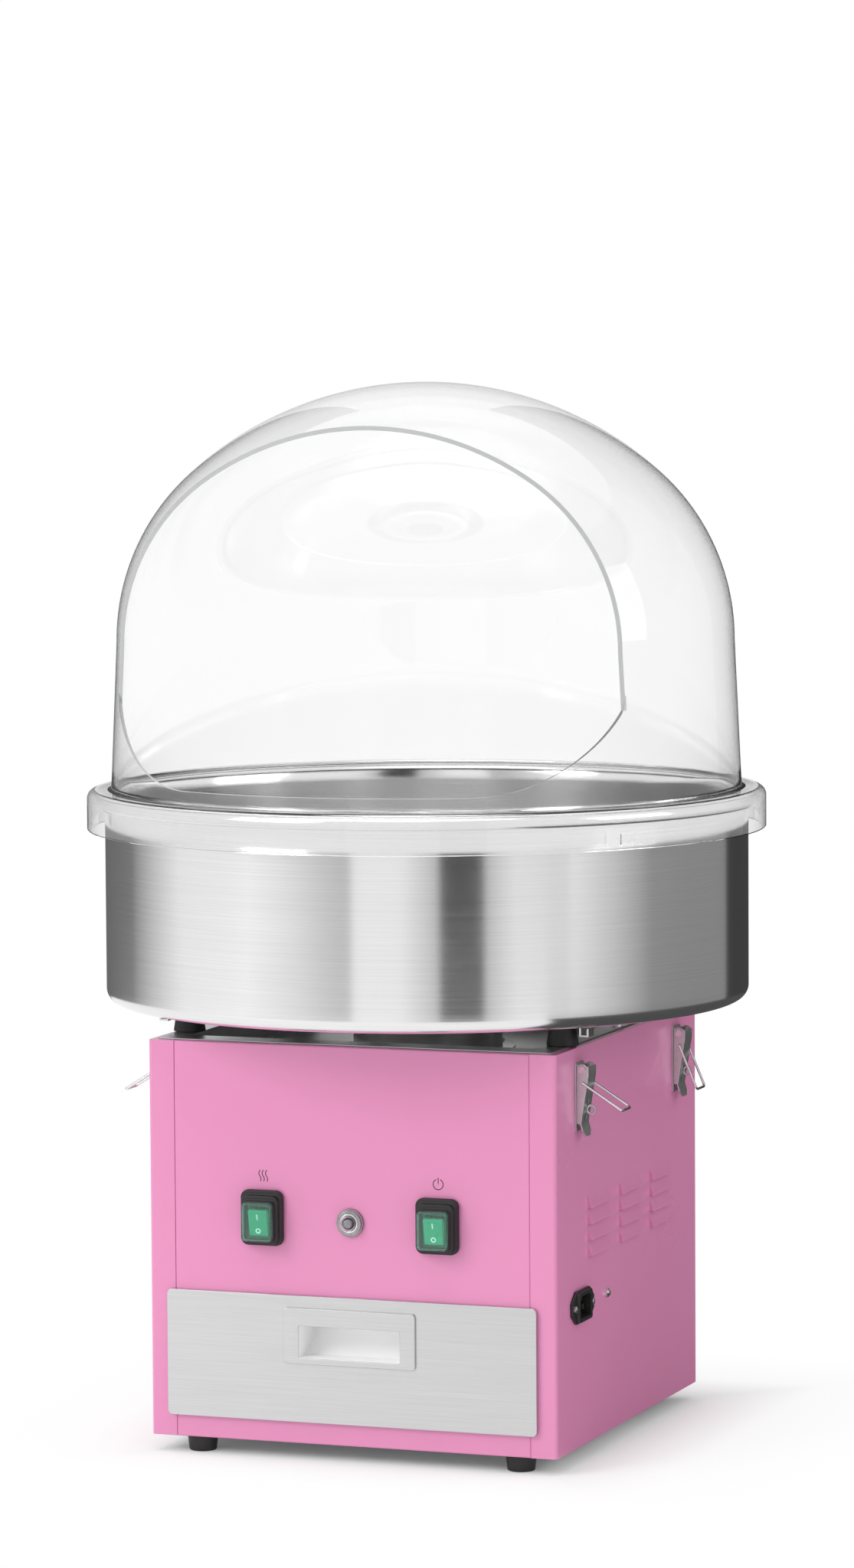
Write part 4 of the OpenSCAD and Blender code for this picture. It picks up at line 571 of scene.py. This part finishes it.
def knurl_tree():
    """Disc with a knurled edge, its axis along Z: a circle with every second point drawn in."""
    tree, start, end = shape_tree("knurled_ring", {
        "Radius": 0.011, "Tooth Depth": 0.0005, "Teeth": 56, "Height": 0.002, "Bore": 0.0057})
    given = start.outputs
    circle = add_node(tree, "GeometryNodeMeshCircle", {
        "Vertices": maths(tree, "MULTIPLY", given["Teeth"], 2.0), "Radius": given["Radius"]},
        fill_type="NGON")
    every = maths(tree, "MODULO", add_node(tree, "GeometryNodeInputIndex").outputs[0], 2.0)
    ratio = maths(tree, "DIVIDE", given["Tooth Depth"], given["Radius"])
    factor = maths(tree, "SUBTRACT", 1.0, maths(tree, "MULTIPLY", every, ratio))
    shrink = add_node(tree, "ShaderNodeVectorMath", {
        0: add_node(tree, "GeometryNodeInputPosition").outputs[0], "Scale": factor},
        operation="SCALE")
    disc = add_node(tree, "GeometryNodeSetPosition", {
        "Geometry": circle.outputs["Mesh"], "Position": shrink.outputs[0]}).outputs["Geometry"]
    grow = add_node(tree, "GeometryNodeExtrudeMesh", {
        "Mesh": disc, "Offset Scale": given["Height"]})
    flip = add_node(tree, "GeometryNodeFlipFaces", {"Mesh": disc})
    join = add_node(tree, "GeometryNodeJoinGeometry")
    for side in (grow, flip):
        feed(tree, join.inputs["Geometry"], side.outputs["Mesh"])
    weld = add_node(tree, "GeometryNodeMergeByDistance", {
        "Geometry": join.outputs["Geometry"], "Distance": 1e-6})
    bore = add_node(tree, "GeometryNodeMeshCylinder", {
        "Vertices": 48, "Radius": given["Bore"],
        "Depth": maths(tree, "MULTIPLY", given["Height"], 4.0)})
    return end_tree(tree, start, end,
                    less(tree, weld.outputs["Geometry"], bore.outputs["Mesh"]))


def grown(name, tree, values, base=None):
    """Run a tree with the given inputs, on a mesh or on nothing; returns a plain mesh object."""
    piece = add_object(name + "_base", base or bpy.data.meshes.new("none"))
    modifier = piece.modifiers.new("tree", "NODES")
    modifier.node_group = tree
    sockets = {item.name: item.identifier for item in tree.interface.items_tree
               if item.item_type == "SOCKET" and item.in_out == "INPUT"}
    for label, value in values.items():
        modifier[sockets[label]] = value
    piece = evaluated_copy(piece, name)
    bm = bmesh.new()
    bm.from_mesh(piece.data)
    bmesh.ops.remove_doubles(bm, verts=bm.verts, dist=1e-7)
    mark_sharp(bm, 35.0)
    bm.to_mesh(piece.data)
    bm.free()
    return piece


def points_mesh(name, places):
    """Mesh of loose points, each with the direction that its screw stands in."""
    mesh = bpy.data.meshes.new(name)
    mesh.from_pydata([p for p, _ in places], [], [])
    axis = mesh.attributes.new("axis", "FLOAT_VECTOR", "POINT")
    for item, (_, direction) in zip(axis.data, places):
        item.vector = direction
    return mesh


SCREWS = screws_tree()
RIBS = ribs_tree()
KNURL = knurl_tree()


def joined(name, pieces):
    """One object from several, with their materials kept."""
    bm = bmesh.new()
    mats = []
    for piece in pieces:
        start = len(bm.faces)
        offset = []
        for slot in piece.material_slots:
            if slot.material not in mats:
                mats.append(slot.material)
            offset.append(mats.index(slot.material))
        bm.from_mesh(piece.data)
        bm.faces.ensure_lookup_table()
        for face in bm.faces[start:]:
            face.material_index = offset[face.material_index] if offset else 0
    mesh = bpy.data.meshes.new(name)
    bm.to_mesh(mesh)
    bm.free()
    for item in mats:
        mesh.materials.append(item)
    for piece in pieces:
        bpy.data.objects.remove(piece, do_unlink=True)
    return add_object(name, mesh)


def settle(piece, body, nodes=(), material=None):
    """Give a piece its material, its body, and the frame nodes that it stands for."""
    if material:
        piece.data.materials.clear()
        piece.data.materials.append(material)
    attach(piece, body)
    if nodes:
        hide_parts(*nodes)
    return piece


# Bowl and dome

def make_bowl():
    wall, inner = BOWL_WALL_R, BOWL_WALL_R - BOWL_SHEET
    corner_z = BOWL_LOW + BOWL_CORNER
    wall_top, inner_top = RIM_TOP - 0.0072, RIM_TOP - 0.0062
    collar_foot, fillet, steps = 0.003, 0.0026, 24
    profile = [(BOWL_HOLE_R + collar_foot, BOWL_LOW)]
    profile += arc(wall - BOWL_CORNER, corner_z, BOWL_CORNER, -90, 0, 12)
    profile += [(wall, corner_z + (wall_top - corner_z) * i / steps)
                for i in range(1, steps + 1)]
    profile += arc(RIM_R - BEAD_R, RIM_TOP - BEAD_R, BEAD_R, 208, 532, 30)
    profile += [(inner, corner_z + (inner_top - corner_z) * (steps - i) / steps)
                for i in range(steps + 1)]
    profile += arc(wall - BOWL_CORNER, corner_z, BOWL_CORNER - BOWL_SHEET, 0, -90, 12)
    profile += arc(BOWL_HOLE_R + BOWL_SHEET + fillet, BOWL_LOW + BOWL_SHEET + fillet,
                   fillet, -90, -180, 8)
    profile += arc(BOWL_HOLE_R + BOWL_SHEET / 2, COLLAR_TOP - BOWL_SHEET / 2,
                   BOWL_SHEET / 2, 0, 180, 6)
    profile += [(BOWL_HOLE_R, BOWL_LOW + collar_foot)]
    profile += arc(BOWL_HOLE_R + collar_foot, BOWL_LOW + collar_foot, collar_foot,
                   180, 270, 8)[1:-1]
    return finish_bmesh(lathe(profile, 256), "bowl_turned", sharp=40.0)


def dome_profile():
    """Closed half section of the clear dome, in metres above the bottom of its skirt."""
    crown_z, crown_r, side_x, side_z, side_r, turn = 0.07243, 0.27357, 0.0656, 0.146, 0.175, 48.3
    skirt_r, skirt_x, skirt_z = 0.2649, 0.258, 0.024
    points = [(skirt_r, 0.0006), (skirt_r, skirt_z)]
    points += arc(skirt_x, skirt_z, 0.0069, 0, 90, 10)[1:]
    points += arc(0.2493, 0.0344, 0.0035, -90, -177.5, 6)
    points += [(0.2456 - 0.005 * i / 10, 0.036 + 0.110 * i / 10) for i in range(1, 10)]
    points += arc(side_x, side_z, side_r, 0, turn, 26)
    points += arc(0.0, crown_z, crown_r, turn, 90, 26)[1:-1] + [(0.0, crown_z + crown_r)]
    points += [(0.0, crown_z + crown_r - DOME_SKIN)]
    points += arc(0.0, crown_z, crown_r - DOME_SKIN, 90, turn, 26)[1:-1]
    points += arc(side_x, side_z, side_r - DOME_SKIN, turn, 0, 26)
    points += [(0.2376 + 0.0051 * i / 10, side_z - 0.116 * i / 10) for i in range(1, 10)]
    points += arc(0.2438, 0.029, 0.001, 180, 270, 4)
    points += arc(skirt_x, skirt_z, 0.004, 90, 0, 8)
    points += [(0.262, 0.0006), (0.2626, 0.0), (0.2643, 0.0)]
    return [(r, DOME_LOW + z) for r, z in points]


def opening_cutter():
    """Block in front of the opening's plane, with rounded lower corners."""
    half, sill, radius = OPENING_HALF, OPENING_SILL, OPENING_CORNER
    above, ahead, steps = DOME_LOW + 0.40, -0.40, 32
    outline = [(half, above)]
    outline += [(half - radius + radius * math.cos(a), sill + radius + radius * math.sin(a))
                for a in [-math.pi / 2 * i / steps for i in range(steps + 1)]]
    outline += [(-x, z) for x, z in reversed(outline)]
    bm = bmesh.new()
    near = [bm.verts.new((x, OPENING_Y, z)) for x, z in outline]
    far = [bm.verts.new((x, ahead, z)) for x, z in outline]
    close_block(bm, near, far)
    return finish_bmesh(bm, "opening_cutter")


def lug_block():
    """The three small moulded lugs inside the skirt."""
    bm = bmesh.new()
    at_r, at_z, (depth, width, height) = 0.26155, DOME_LOW + 0.008, (0.0021, 0.012, 0.008)
    for k in range(3):
        turn = Matrix.Rotation(math.radians(-35 + 120 * k), 4, "Z")
        for vert in bmesh.ops.create_cube(bm, size=1.0)["verts"]:
            vert.co = turn @ Vector((at_r + vert.co.x * depth, vert.co.y * width,
                                     at_z + vert.co.z * height))
    return finish_bmesh(bm, "skirt_lugs")


def make_dome():
    dome = finish_bmesh(lathe(dome_profile(), 240), "dome_blown", sharp=40.0)
    lugs, cutter = lug_block(), opening_cutter()
    for other, kind in ((lugs, "UNION"), (cutter, "DIFFERENCE")):
        modifier = dome.modifiers.new(kind.lower(), "BOOLEAN")
        modifier.object = other
        modifier.operation = kind
        modifier.solver = "EXACT"
    dome = evaluated_copy(dome, "dome_clear")
    for other in (lugs, cutter):
        bpy.data.objects.remove(other, do_unlink=True)
    bm = bmesh.new()
    bm.from_mesh(dome.data)
    bpy.data.objects.remove(dome, do_unlink=True)
    return finish_bmesh(bm, "dome_clear", sharp=38.0)


bowl = settle(make_bowl(), "bowl", ("bowl",), BOWL_STEEL)
dome = settle(make_dome(), "dome", ("dome",), CLEAR_DOME)
dome.data.materials.append(CUT_EDGE)
for face in dome.data.polygons:
    x, y, z = face.center
    reach = math.hypot(max(abs(x) - OPENING_HALF + OPENING_CORNER, 0.0),
                       max(OPENING_SILL + OPENING_CORNER - z, 0.0))
    at_front = abs(y - OPENING_Y) < 1e-5 and abs(face.normal.y) > 0.999
    at_corner = abs(reach - OPENING_CORNER) < 1e-4 and z < OPENING_SILL + OPENING_CORNER
    if at_front or (y < OPENING_Y and at_corner):
        face.material_index = 1


# Softened frame pieces

SOFT = {
    "side_panel_right": (0.0004, 2, PINK, "housing", "pink_paint"),
    "side_panel_left": (0.0004, 2, PINK, "housing", "pink_paint"),
    "front_panel": (0.0006, 3, PINK, "housing", "pink_paint"),
    "tray": (0.0004, 2, TRAY_STEEL, "housing", "brushed_steel"),
    "bowl_posts": (0.0009, 3, RUBBER, "housing", "black_rubber"),
    "feet": (0.0012, 3, RUBBER, "housing", "black_rubber"),
    "guard_ring": (0.0003, 2, GUARD_STEEL, "housing", "brushed_steel"),
    "drawer_front": (0.0006, 3, FRONT_STEEL, "drawer", "brushed_steel"),
    "drawer_handle": (0.0007, 3, FRONT_STEEL, "drawer", "brushed_steel"),
    "switch_surrounds": (0.0011, 3, RUBBER, "housing", "black_rubber"),
    "switch_caps": (0.0006, 3, CLEAR_CAP, "housing", "clear_cap"),
    "switch_bodies": (0.0003, 2, PLASTIC, "housing", "black_plastic"),
    "inlet_body": (0.0005, 2, PLASTIC, "housing", "black_plastic"),
    "head_drum": (0.0005, 2, HEAD_METAL, "spinner", "head_metal"),
    "head_cone": (0.0004, 2, HEAD_METAL, "spinner", "head_metal"),
    "bowl_hooks": (0.0003, 2, BRIGHT_STEEL, "bowl", "bright_steel"),
    "latch_bases": (0.0002, 2, LATCH_STEEL, "housing", "bright_steel"),
}
for corner in ("front_right", "front_left", "rear_right", "rear_left"):
    SOFT["lever_" + corner] = (0.0002, 2, LATCH_STEEL, "lever_" + corner, "bright_steel")

for node, (width, steps, material, body, slot) in SOFT.items():
    settle(softened(node, width, steps), body, (node,), material)


# The part of each switch in front of the panel is the green bezel round its rocker
switch_bodies = bpy.data.objects["switch_bodies_finished"]
switch_bodies.data.materials.append(BEZEL_GREEN)
for face in switch_bodies.data.polygons:
    if face.center.y < PANEL_FRONT:
        face.material_index = 1

# The recess behind the handle's opening is painted pale inside: a painted reflection in place of
# its steel
RECESS_FRONT = -0.1740
handle = bpy.data.objects["drawer_handle_finished"]
handle.data.materials.append(SCOOP_PAINTED_REFLECTION)
for face in handle.data.polygons:
    if face.center.y > RECESS_FRONT:
        face.material_index = 1


# Screws of the head

HEAD_SCREW_R = 0.0559
HEAD_SCREW_Z = 0.3662
screw_places = [((HEAD_SCREW_R * math.cos(a), HEAD_SCREW_R * math.sin(a), HEAD_SCREW_Z),
                 (0, 0, 1)) for a in [math.radians(40 + 90 * k) for k in range(4)]]
head_screws = grown("head_screw_heads", SCREWS, {
    "Head Radius": 0.0038, "Head Height": 0.0022, "Recess Width": 0.0009,
    "Material": BRIGHT_STEEL}, points_mesh("head_screw_points", screw_places))
settle(head_screws, "spinner", ("head_screws",))


# Switches

def rocker_place(x):
    """From a rocker's own frame, with its face towards -Y, to its place at rest."""
    return (Matrix.Translation((x, ROCKER_PIVOT[0], ROCKER_PIVOT[1]))
            @ Matrix.Rotation(ROCKER_TILT, 4, "X"))


def make_rocker(name, x):
    """Rounded rocker with upright ribs, a stroke and a ring."""
    bm = bmesh.new()
    half_w, face, half_h, side, back = 0.0075, 0.0061, 0.010, 0.0021, 0.0025
    rounding, pin_r, pin_length = 0.0006, 0.00125, 0.0014
    outline = [(-face, -half_h), (-face, half_h), (-side, half_h), (back, back),
               (back, -back), (-side, -half_h)]
    close_block(bm, *[[bm.verts.new((x0, y0, z0)) for y0, z0 in outline]
                      for x0 in (-half_w, half_w)])
    bmesh.ops.bevel(bm, geom=bm.edges[:], offset=rounding, segments=3, profile=0.5,
                    affect="EDGES")
    for turn in (1, -1):
        pin = bmesh.ops.create_cone(bm, cap_ends=True, segments=24, radius1=pin_r,
                                    radius2=pin_r, depth=pin_length)
        for vert in pin["verts"]:
            x0, y0, z0 = vert.co
            vert.co = Vector((turn * (half_w + rounding) + z0, x0, y0))
    body = finish_bmesh(bm, name + "_body")
    body.data.materials.append(GREEN_PAINTED_GLOW)
    ribs = grown(name + "_ribs", RIBS, {
        "Count": 13, "Pitch": 0.00105, "Rib Width": 0.0005, "Rib Depth": 0.0004,
        "Rib Height": 0.0176, "Material": GREEN_PAINTED_GLOW})
    ribs.data.transform(Matrix.Translation((-0.0063, -face - 0.0001, 0.0)))
    mark_y, mark_depth = -face - 0.0003, 0.0003
    stroke_w, stroke_h, stroke_z = 0.0009, 0.0044, 0.0052
    ring_in, ring_out, ring_z = 0.0012, 0.0021, -0.0058
    marks = bmesh.new()
    for vert in bmesh.ops.create_cube(marks, size=1.0)["verts"]:
        vert.co = Vector((vert.co.x * stroke_w, mark_y + vert.co.y * mark_depth,
                          stroke_z + vert.co.z * stroke_h))
    ring = lathe([(ring_in, -mark_depth / 2), (ring_out, -mark_depth / 2),
                  (ring_out, mark_depth / 2), (ring_in, mark_depth / 2)], 32)
    for vert in ring.verts:
        vert.co = Vector((vert.co.x, mark_y + vert.co.z, vert.co.y + ring_z))
    marks = finish_bmesh(marks, name + "_stroke")
    ring = finish_bmesh(ring, name + "_ring")
    for piece in (marks, ring):
        piece.data.materials.append(MARK_WHITE_PAINTED_GLOW)
    whole = joined(name, [body, ribs, marks, ring])
    whole.data.transform(rocker_place(x))
    return whole


for name, x in (("heat_rocker", -SWITCH_X), ("power_rocker", SWITCH_X)):
    rocker = make_rocker(name + "_ribbed", x)
    settle(rocker, name, ("rocker_" + name.split("_")[0],))


def draw_line(bm, path):
    """Flat ribbon along a path in X and Z, raised a little from the panel."""
    rows, half, depth = [], 0.00032, 0.00008
    for i, (x, z) in enumerate(path):
        x0, z0 = path[max(i - 1, 0)]
        x1, z1 = path[min(i + 1, len(path) - 1)]
        length = math.hypot(x1 - x0, z1 - z0)
        nx, nz = -(z1 - z0) / length * half, (x1 - x0) / length * half
        rows.append([bm.verts.new((x + s * nx, y, z + s * nz))
                     for y in (PANEL_FRONT, PANEL_FRONT - depth) for s in (-1, 1)])
    for a, b in zip(rows, rows[1:]):
        for i, j in ((0, 1), (1, 3), (3, 2), (2, 0)):
            bm.faces.new((a[i], a[j], b[j], b[i]))
    for row in (rows[0], rows[-1]):
        bm.faces.new((row[0], row[1], row[3], row[2]))


def make_signs():
    """Three rising waves over the heat switch and a ring with a stroke over the power switch."""
    bm = bmesh.new()
    wave_low, wave_height, wave_pitch, swing, steps = 0.2136, 0.0086, 0.0027, 0.0009, 24
    for k in (-1, 0, 1):
        middle = -SWITCH_X + k * wave_pitch
        draw_line(bm, [(middle + swing * math.sin(math.tau * (t / steps + 0.05)),
                        wave_low + wave_height * t / steps) for t in range(steps + 1)])
    centre, radius, gap, steps = 0.2176, 0.0040, 22, 40
    draw_line(bm, [(SWITCH_X + radius * math.sin(a), centre + radius * math.cos(a))
                   for a in [math.radians(gap + (360 - 2 * gap) * i / steps)
                             for i in range(steps + 1)]])
    draw_line(bm, [(SWITCH_X, centre + 0.0004), (SWITCH_X, centre + 0.0052)])
    return finish_bmesh(bm, "switch_signs")


settle(make_signs(), "housing", (), SIGN_INK)


# Reset button

def facing_front(piece):
    """Turn a piece made along +Z so that it grows out of the panel towards the front."""
    piece.data.transform(Matrix.Translation((0.0, PANEL_FRONT, RESET_Z))
                         @ Matrix.Rotation(math.pi / 2, 4, "X"))
    return piece


def turned(profile, segments, name):
    """Turned piece of the reset button, growing out of the panel."""
    return facing_front(finish_bmesh(lathe(profile, segments), name, sharp=50.0))


NUT_TOP = 0.0040
NUT_BORE_R = 0.0057
knurl = facing_front(grown("reset_knurl", KNURL, {
    "Radius": 0.011, "Tooth Depth": 0.0005, "Teeth": 56, "Height": 0.0024, "Bore": NUT_BORE_R,
    "Material": NUT_STEEL}))
shoulder = turned([(NUT_BORE_R, 0.0020), (0.0098, 0.0020)] + arc(0.0090, 0.0032, 0.0008, 0, 90, 5)
                  + [(NUT_BORE_R, NUT_TOP)], 96, "reset_shoulder")
shoulder.data.materials.append(NUT_STEEL)
bezel = turned(arc(0.0066, NUT_TOP, 0.0008, 0, 180, 8), 64, "reset_bezel")
bezel.data.materials.append(BRIGHT_STEEL)
settle(joined("reset_ring_knurled", [knurl, shoulder, bezel]), "housing", ("reset_ring_nut",))

BOOT_R = 0.0060
BOOT_INNER_R = 0.0051
BOOT_SHOULDER = 0.0055
boot_profile = ([(BOOT_INNER_R, NUT_TOP), (BOOT_R, NUT_TOP), (BOOT_R, BOOT_SHOULDER)]
                + arc(0.0, BOOT_SHOULDER, BOOT_R, 0, 90, 20)[1:-1]
                + [(0.0, BOOT_SHOULDER + BOOT_R), (0.0, BOOT_SHOULDER + BOOT_INNER_R)]
                + arc(0.0, BOOT_SHOULDER, BOOT_INNER_R, 90, 0, 20)[1:])
settle(turned(boot_profile, 72, "reset_lens"), "housing", ("reset_boot",), CLEAR_BOOT)


# Materials of the frame nodes

NODE_MATERIALS = {
    PINK: "back_panel",
    SHEET_STEEL: "base_plate motor_bracket drawer_runners drawer_box",
    BRIGHT_STEEL: "foot_screws cabinet_screws post_screws motor_screws motor_bearings "
                  "inlet_screws earth_screw latch_rivets fin_screws bail_front_right "
                  "bail_front_left bail_rear_right bail_rear_left",
    SHAFT_STEEL: "drive_shaft",
    MOTOR_METAL: "motor_case motor_rotor head_base",
    FIN_METAL: "head_fins",
    BRASS: "inlet_pins slip_rings",
    PLASTIC: "reset_breaker",
    BUTTON: "reset_button",
    BOARD: "brush_holder",
    CARBON: "carbon_brushes",
    LEADS: "wiring",
    HEATER_SHEATH: "heating_ring",
    CERAMIC: "heater_posts",
}
for material, nodes in NODE_MATERIALS.items():
    for node in nodes.split():
        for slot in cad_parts[node].material_slots:
            slot.material = material


# Studio

def link_stage_material(piece, build):
    material = bpy.data.materials.new(piece.name + "_surface")
    material.use_nodes = True
    material.node_tree.nodes.clear()
    surface = build(material.node_tree)
    add_node(material.node_tree, "ShaderNodeOutputMaterial", {"Surface": surface})
    piece.data.materials.append(material)


def seen_rays(tree, path):
    """1 for rays that the camera sends, straight or through clear pieces."""
    return maths(tree, "MAXIMUM", path["Is Camera Ray"], path["Is Transmission Ray"])


def mixed(tree, share, first, second):
    return add_node(tree, "ShaderNodeMixShader", {"Fac": share, 1: first, 2: second}).outputs[0]


def build_world():
    """White behind the object, and round it a light that is brighter on the photo's left."""
    world = bpy.data.worlds.new("white_studio")
    world.use_nodes = True
    sky = world.node_tree
    sky.nodes.clear()
    white = (1.0, 1.0, 1.0, 1.0)
    path = add_node(sky, "ShaderNodeLightPath").outputs
    side = add_node(sky, "ShaderNodeVectorMath", {
        0: add_node(sky, "ShaderNodeTexCoord").outputs["Generated"],
        1: Vector((-0.70, -0.62, 0.36)).normalized()}, operation="DOT_PRODUCT").outputs["Value"]
    level = remap(sky, side, -0.7, 0.7, 0.44, 0.84)
    gloss_level = remap(sky, side, -0.7, 0.4, 0.55, 1.0)
    gloss = path["Is Glossy Ray"]
    strength = maths(sky, "ADD", maths(sky, "MULTIPLY", gloss, gloss_level),
                     maths(sky, "MULTIPLY", maths(sky, "SUBTRACT", 1.0, gloss), level))
    light = add_node(sky, "ShaderNodeBackground", {"Color": white, "Strength": strength})
    backdrop = add_node(sky, "ShaderNodeBackground", {"Color": white, "Strength": 1.0})
    add_node(sky, "ShaderNodeOutputWorld", {"Surface": mixed(
        sky, seen_rays(sky, path), light.outputs[0], backdrop.outputs[0])})
    return world


scene.world = build_world()


def floor_surface(tree):
    """White floor that keeps the object's shadow."""
    path = add_node(tree, "ShaderNodeLightPath").outputs
    seen = maths(tree, "MAXIMUM", seen_rays(tree, path),
                 maths(tree, "MULTIPLY", path["Is Glossy Ray"], 0.6))
    base = add_node(tree, "ShaderNodeBsdfDiffuse", {"Color": (0.90, 0.90, 0.90, 1.0)})
    glow = add_node(tree, "ShaderNodeEmission", {"Strength": 1.0})
    sides = add_node(tree, "ShaderNodeSeparateXYZ", {
        0: add_node(tree, "ShaderNodeTexCoord").outputs["Object"]}).outputs
    beside = maths(tree, "MAXIMUM", *[
        maths(tree, "SUBTRACT", maths(tree, "ABSOLUTE", sides[axis]), half)
        for axis, half in (("X", CABINET_HALF_X), ("Y", -PANEL_FRONT))])
    # The glow grows steeply up to 80 mm beside the cabinet, and to its full share at 200 mm
    away = maths(tree, "ADD", remap(tree, beside, -0.03, 0.08, 0.06, 0.86),
                 remap(tree, beside, 0.08, 0.20, 0.0, 0.14))
    return mixed(tree, maths(tree, "MULTIPLY", seen, away), base.outputs[0], glow.outputs[0])


FLOOR_HALF = 9
floor_mesh = bpy.data.meshes.new("floor")
floor_mesh.from_pydata([(x * FLOOR_HALF, y * FLOOR_HALF, 0)
                        for x, y in ((-1, -1), (1, -1), (1, 1), (-1, 1))], [], [(0, 1, 2, 3)])
link_stage_material(add_object("floor", floor_mesh), floor_surface)

CAMERA_AT = Vector((1.60222, -4.33067, 0.87909))
VIEW_ANGLE = math.atan2(CAMERA_AT.y, CAMERA_AT.x)
CARD_R = 1.9
CARD_TOP = 2.4
OVER_FLOOR = 0.001


def card_band(name, first, last, edges, near_level, far_level):
    """Band between two edges (radius, height) round the object, seen only in gloss.

    The angles are counted from the camera's side; the glow runs from one level to the other.
    """
    steps = max(4, int(abs(last - first) / 2))
    verts, faces = [], []
    for i in range(steps + 1):
        a = VIEW_ANGLE + math.radians(first + (last - first) * i / steps)
        verts += [(radius * math.cos(a), radius * math.sin(a), height)
                  for radius, height in edges]
        if i:
            faces.append((2 * i - 2, 2 * i, 2 * i + 1, 2 * i - 1))
    mesh = bpy.data.meshes.new(name)
    mesh.from_pydata(verts, [], faces)
    glow = mesh.attributes.new("glow", "FLOAT", "POINT")
    for i, item in enumerate(glow.data):
        item.value = near_level + (far_level - near_level) * (i // 2) / steps
    piece = add_object(name, mesh)

    def surface(tree):
        level = add_node(tree, "ShaderNodeAttribute", attribute_name="glow").outputs["Fac"]
        return add_node(tree, "ShaderNodeEmission", {"Strength": level}).outputs[0]

    link_stage_material(piece, surface)
    piece.visible_camera = piece.visible_diffuse = False
    piece.visible_shadow = piece.visible_transmission = False


def card(name, first, last, near_level, far_level):
    """Upright card round the object."""
    card_band(name, first, last, ((CARD_R, 0.0), (CARD_R, CARD_TOP)), near_level, far_level)


def floor_card(name, first, last, near, far, level):
    """Card that lies just over the floor."""
    card_band(name, first, last, ((near, OVER_FLOOR), (far, OVER_FLOOR)), level, level)


card("dark_card_left", -168, -122, 0.12, 0.20)
card("fading_card_left", -122, -92, 0.26, 0.95)
card("pale_card_left", -62, -25, 0.98, 0.50)
card("pale_card_middle", -8, 4, 0.92, 0.55)
card("dark_card_middle", 4, 18.5, 0.02, 0.02)
card("fading_card_middle", 18.5, 30, 0.55, 0.92)
card("pale_card_right", 48, 82, 0.98, 0.28)
card("grey_card_right", 82, 127, 0.30, 0.27)
card("dark_card_right", 127, 168, 0.05, 0.05)
floor_card("dark_floor_card_right", 40, 176, 0.170, CARD_R, 0.08)


def softbox(name, place, aim, size, watts):
    lamp = bpy.data.lights.new(name, "AREA")
    lamp.shape = "SQUARE"
    lamp.size = size
    lamp.energy = watts
    piece = bpy.data.objects.new(name, lamp)
    scene.collection.objects.link(piece)
    piece.matrix_world = (Matrix.Translation(place)
                          @ (Vector(aim) - Vector(place)).to_track_quat("-Z", "Y")
                          .to_matrix().to_4x4())


softbox("key_softbox", (-2.0, -2.8, 2.3), (0.0, 0.0, 0.35), 1.6, 52.0)
softbox("top_softbox", (-0.2, -0.5, 3.2), (0.0, 0.0, 0.3), 2.0, 34.0)
softbox("side_softbox", (3.0, 0.2, 1.4), (0.0, 0.0, 0.25), 1.6, 15.0)

camera_data = bpy.data.cameras.new("photo_camera")
camera = bpy.data.objects.new("photo_camera", camera_data)
scene.collection.objects.link(camera)
camera_data.sensor_width = 36.0
camera_data.sensor_fit = "AUTO"
camera_data.lens = 136.14
camera_data.clip_end = 60.0
right = Vector((0.93806, 0.34643, -0.00623)).normalized()
up = Vector((-0.02212, 0.0778, 0.99672)).normalized()
back = right.cross(up).normalized()
up = back.cross(right).normalized()
turn = Matrix((right, up, back)).transposed().to_4x4()
camera.matrix_world = Matrix.Translation(CAMERA_AT) @ turn
scene.camera = camera
scene.view_settings.view_transform = "Standard"
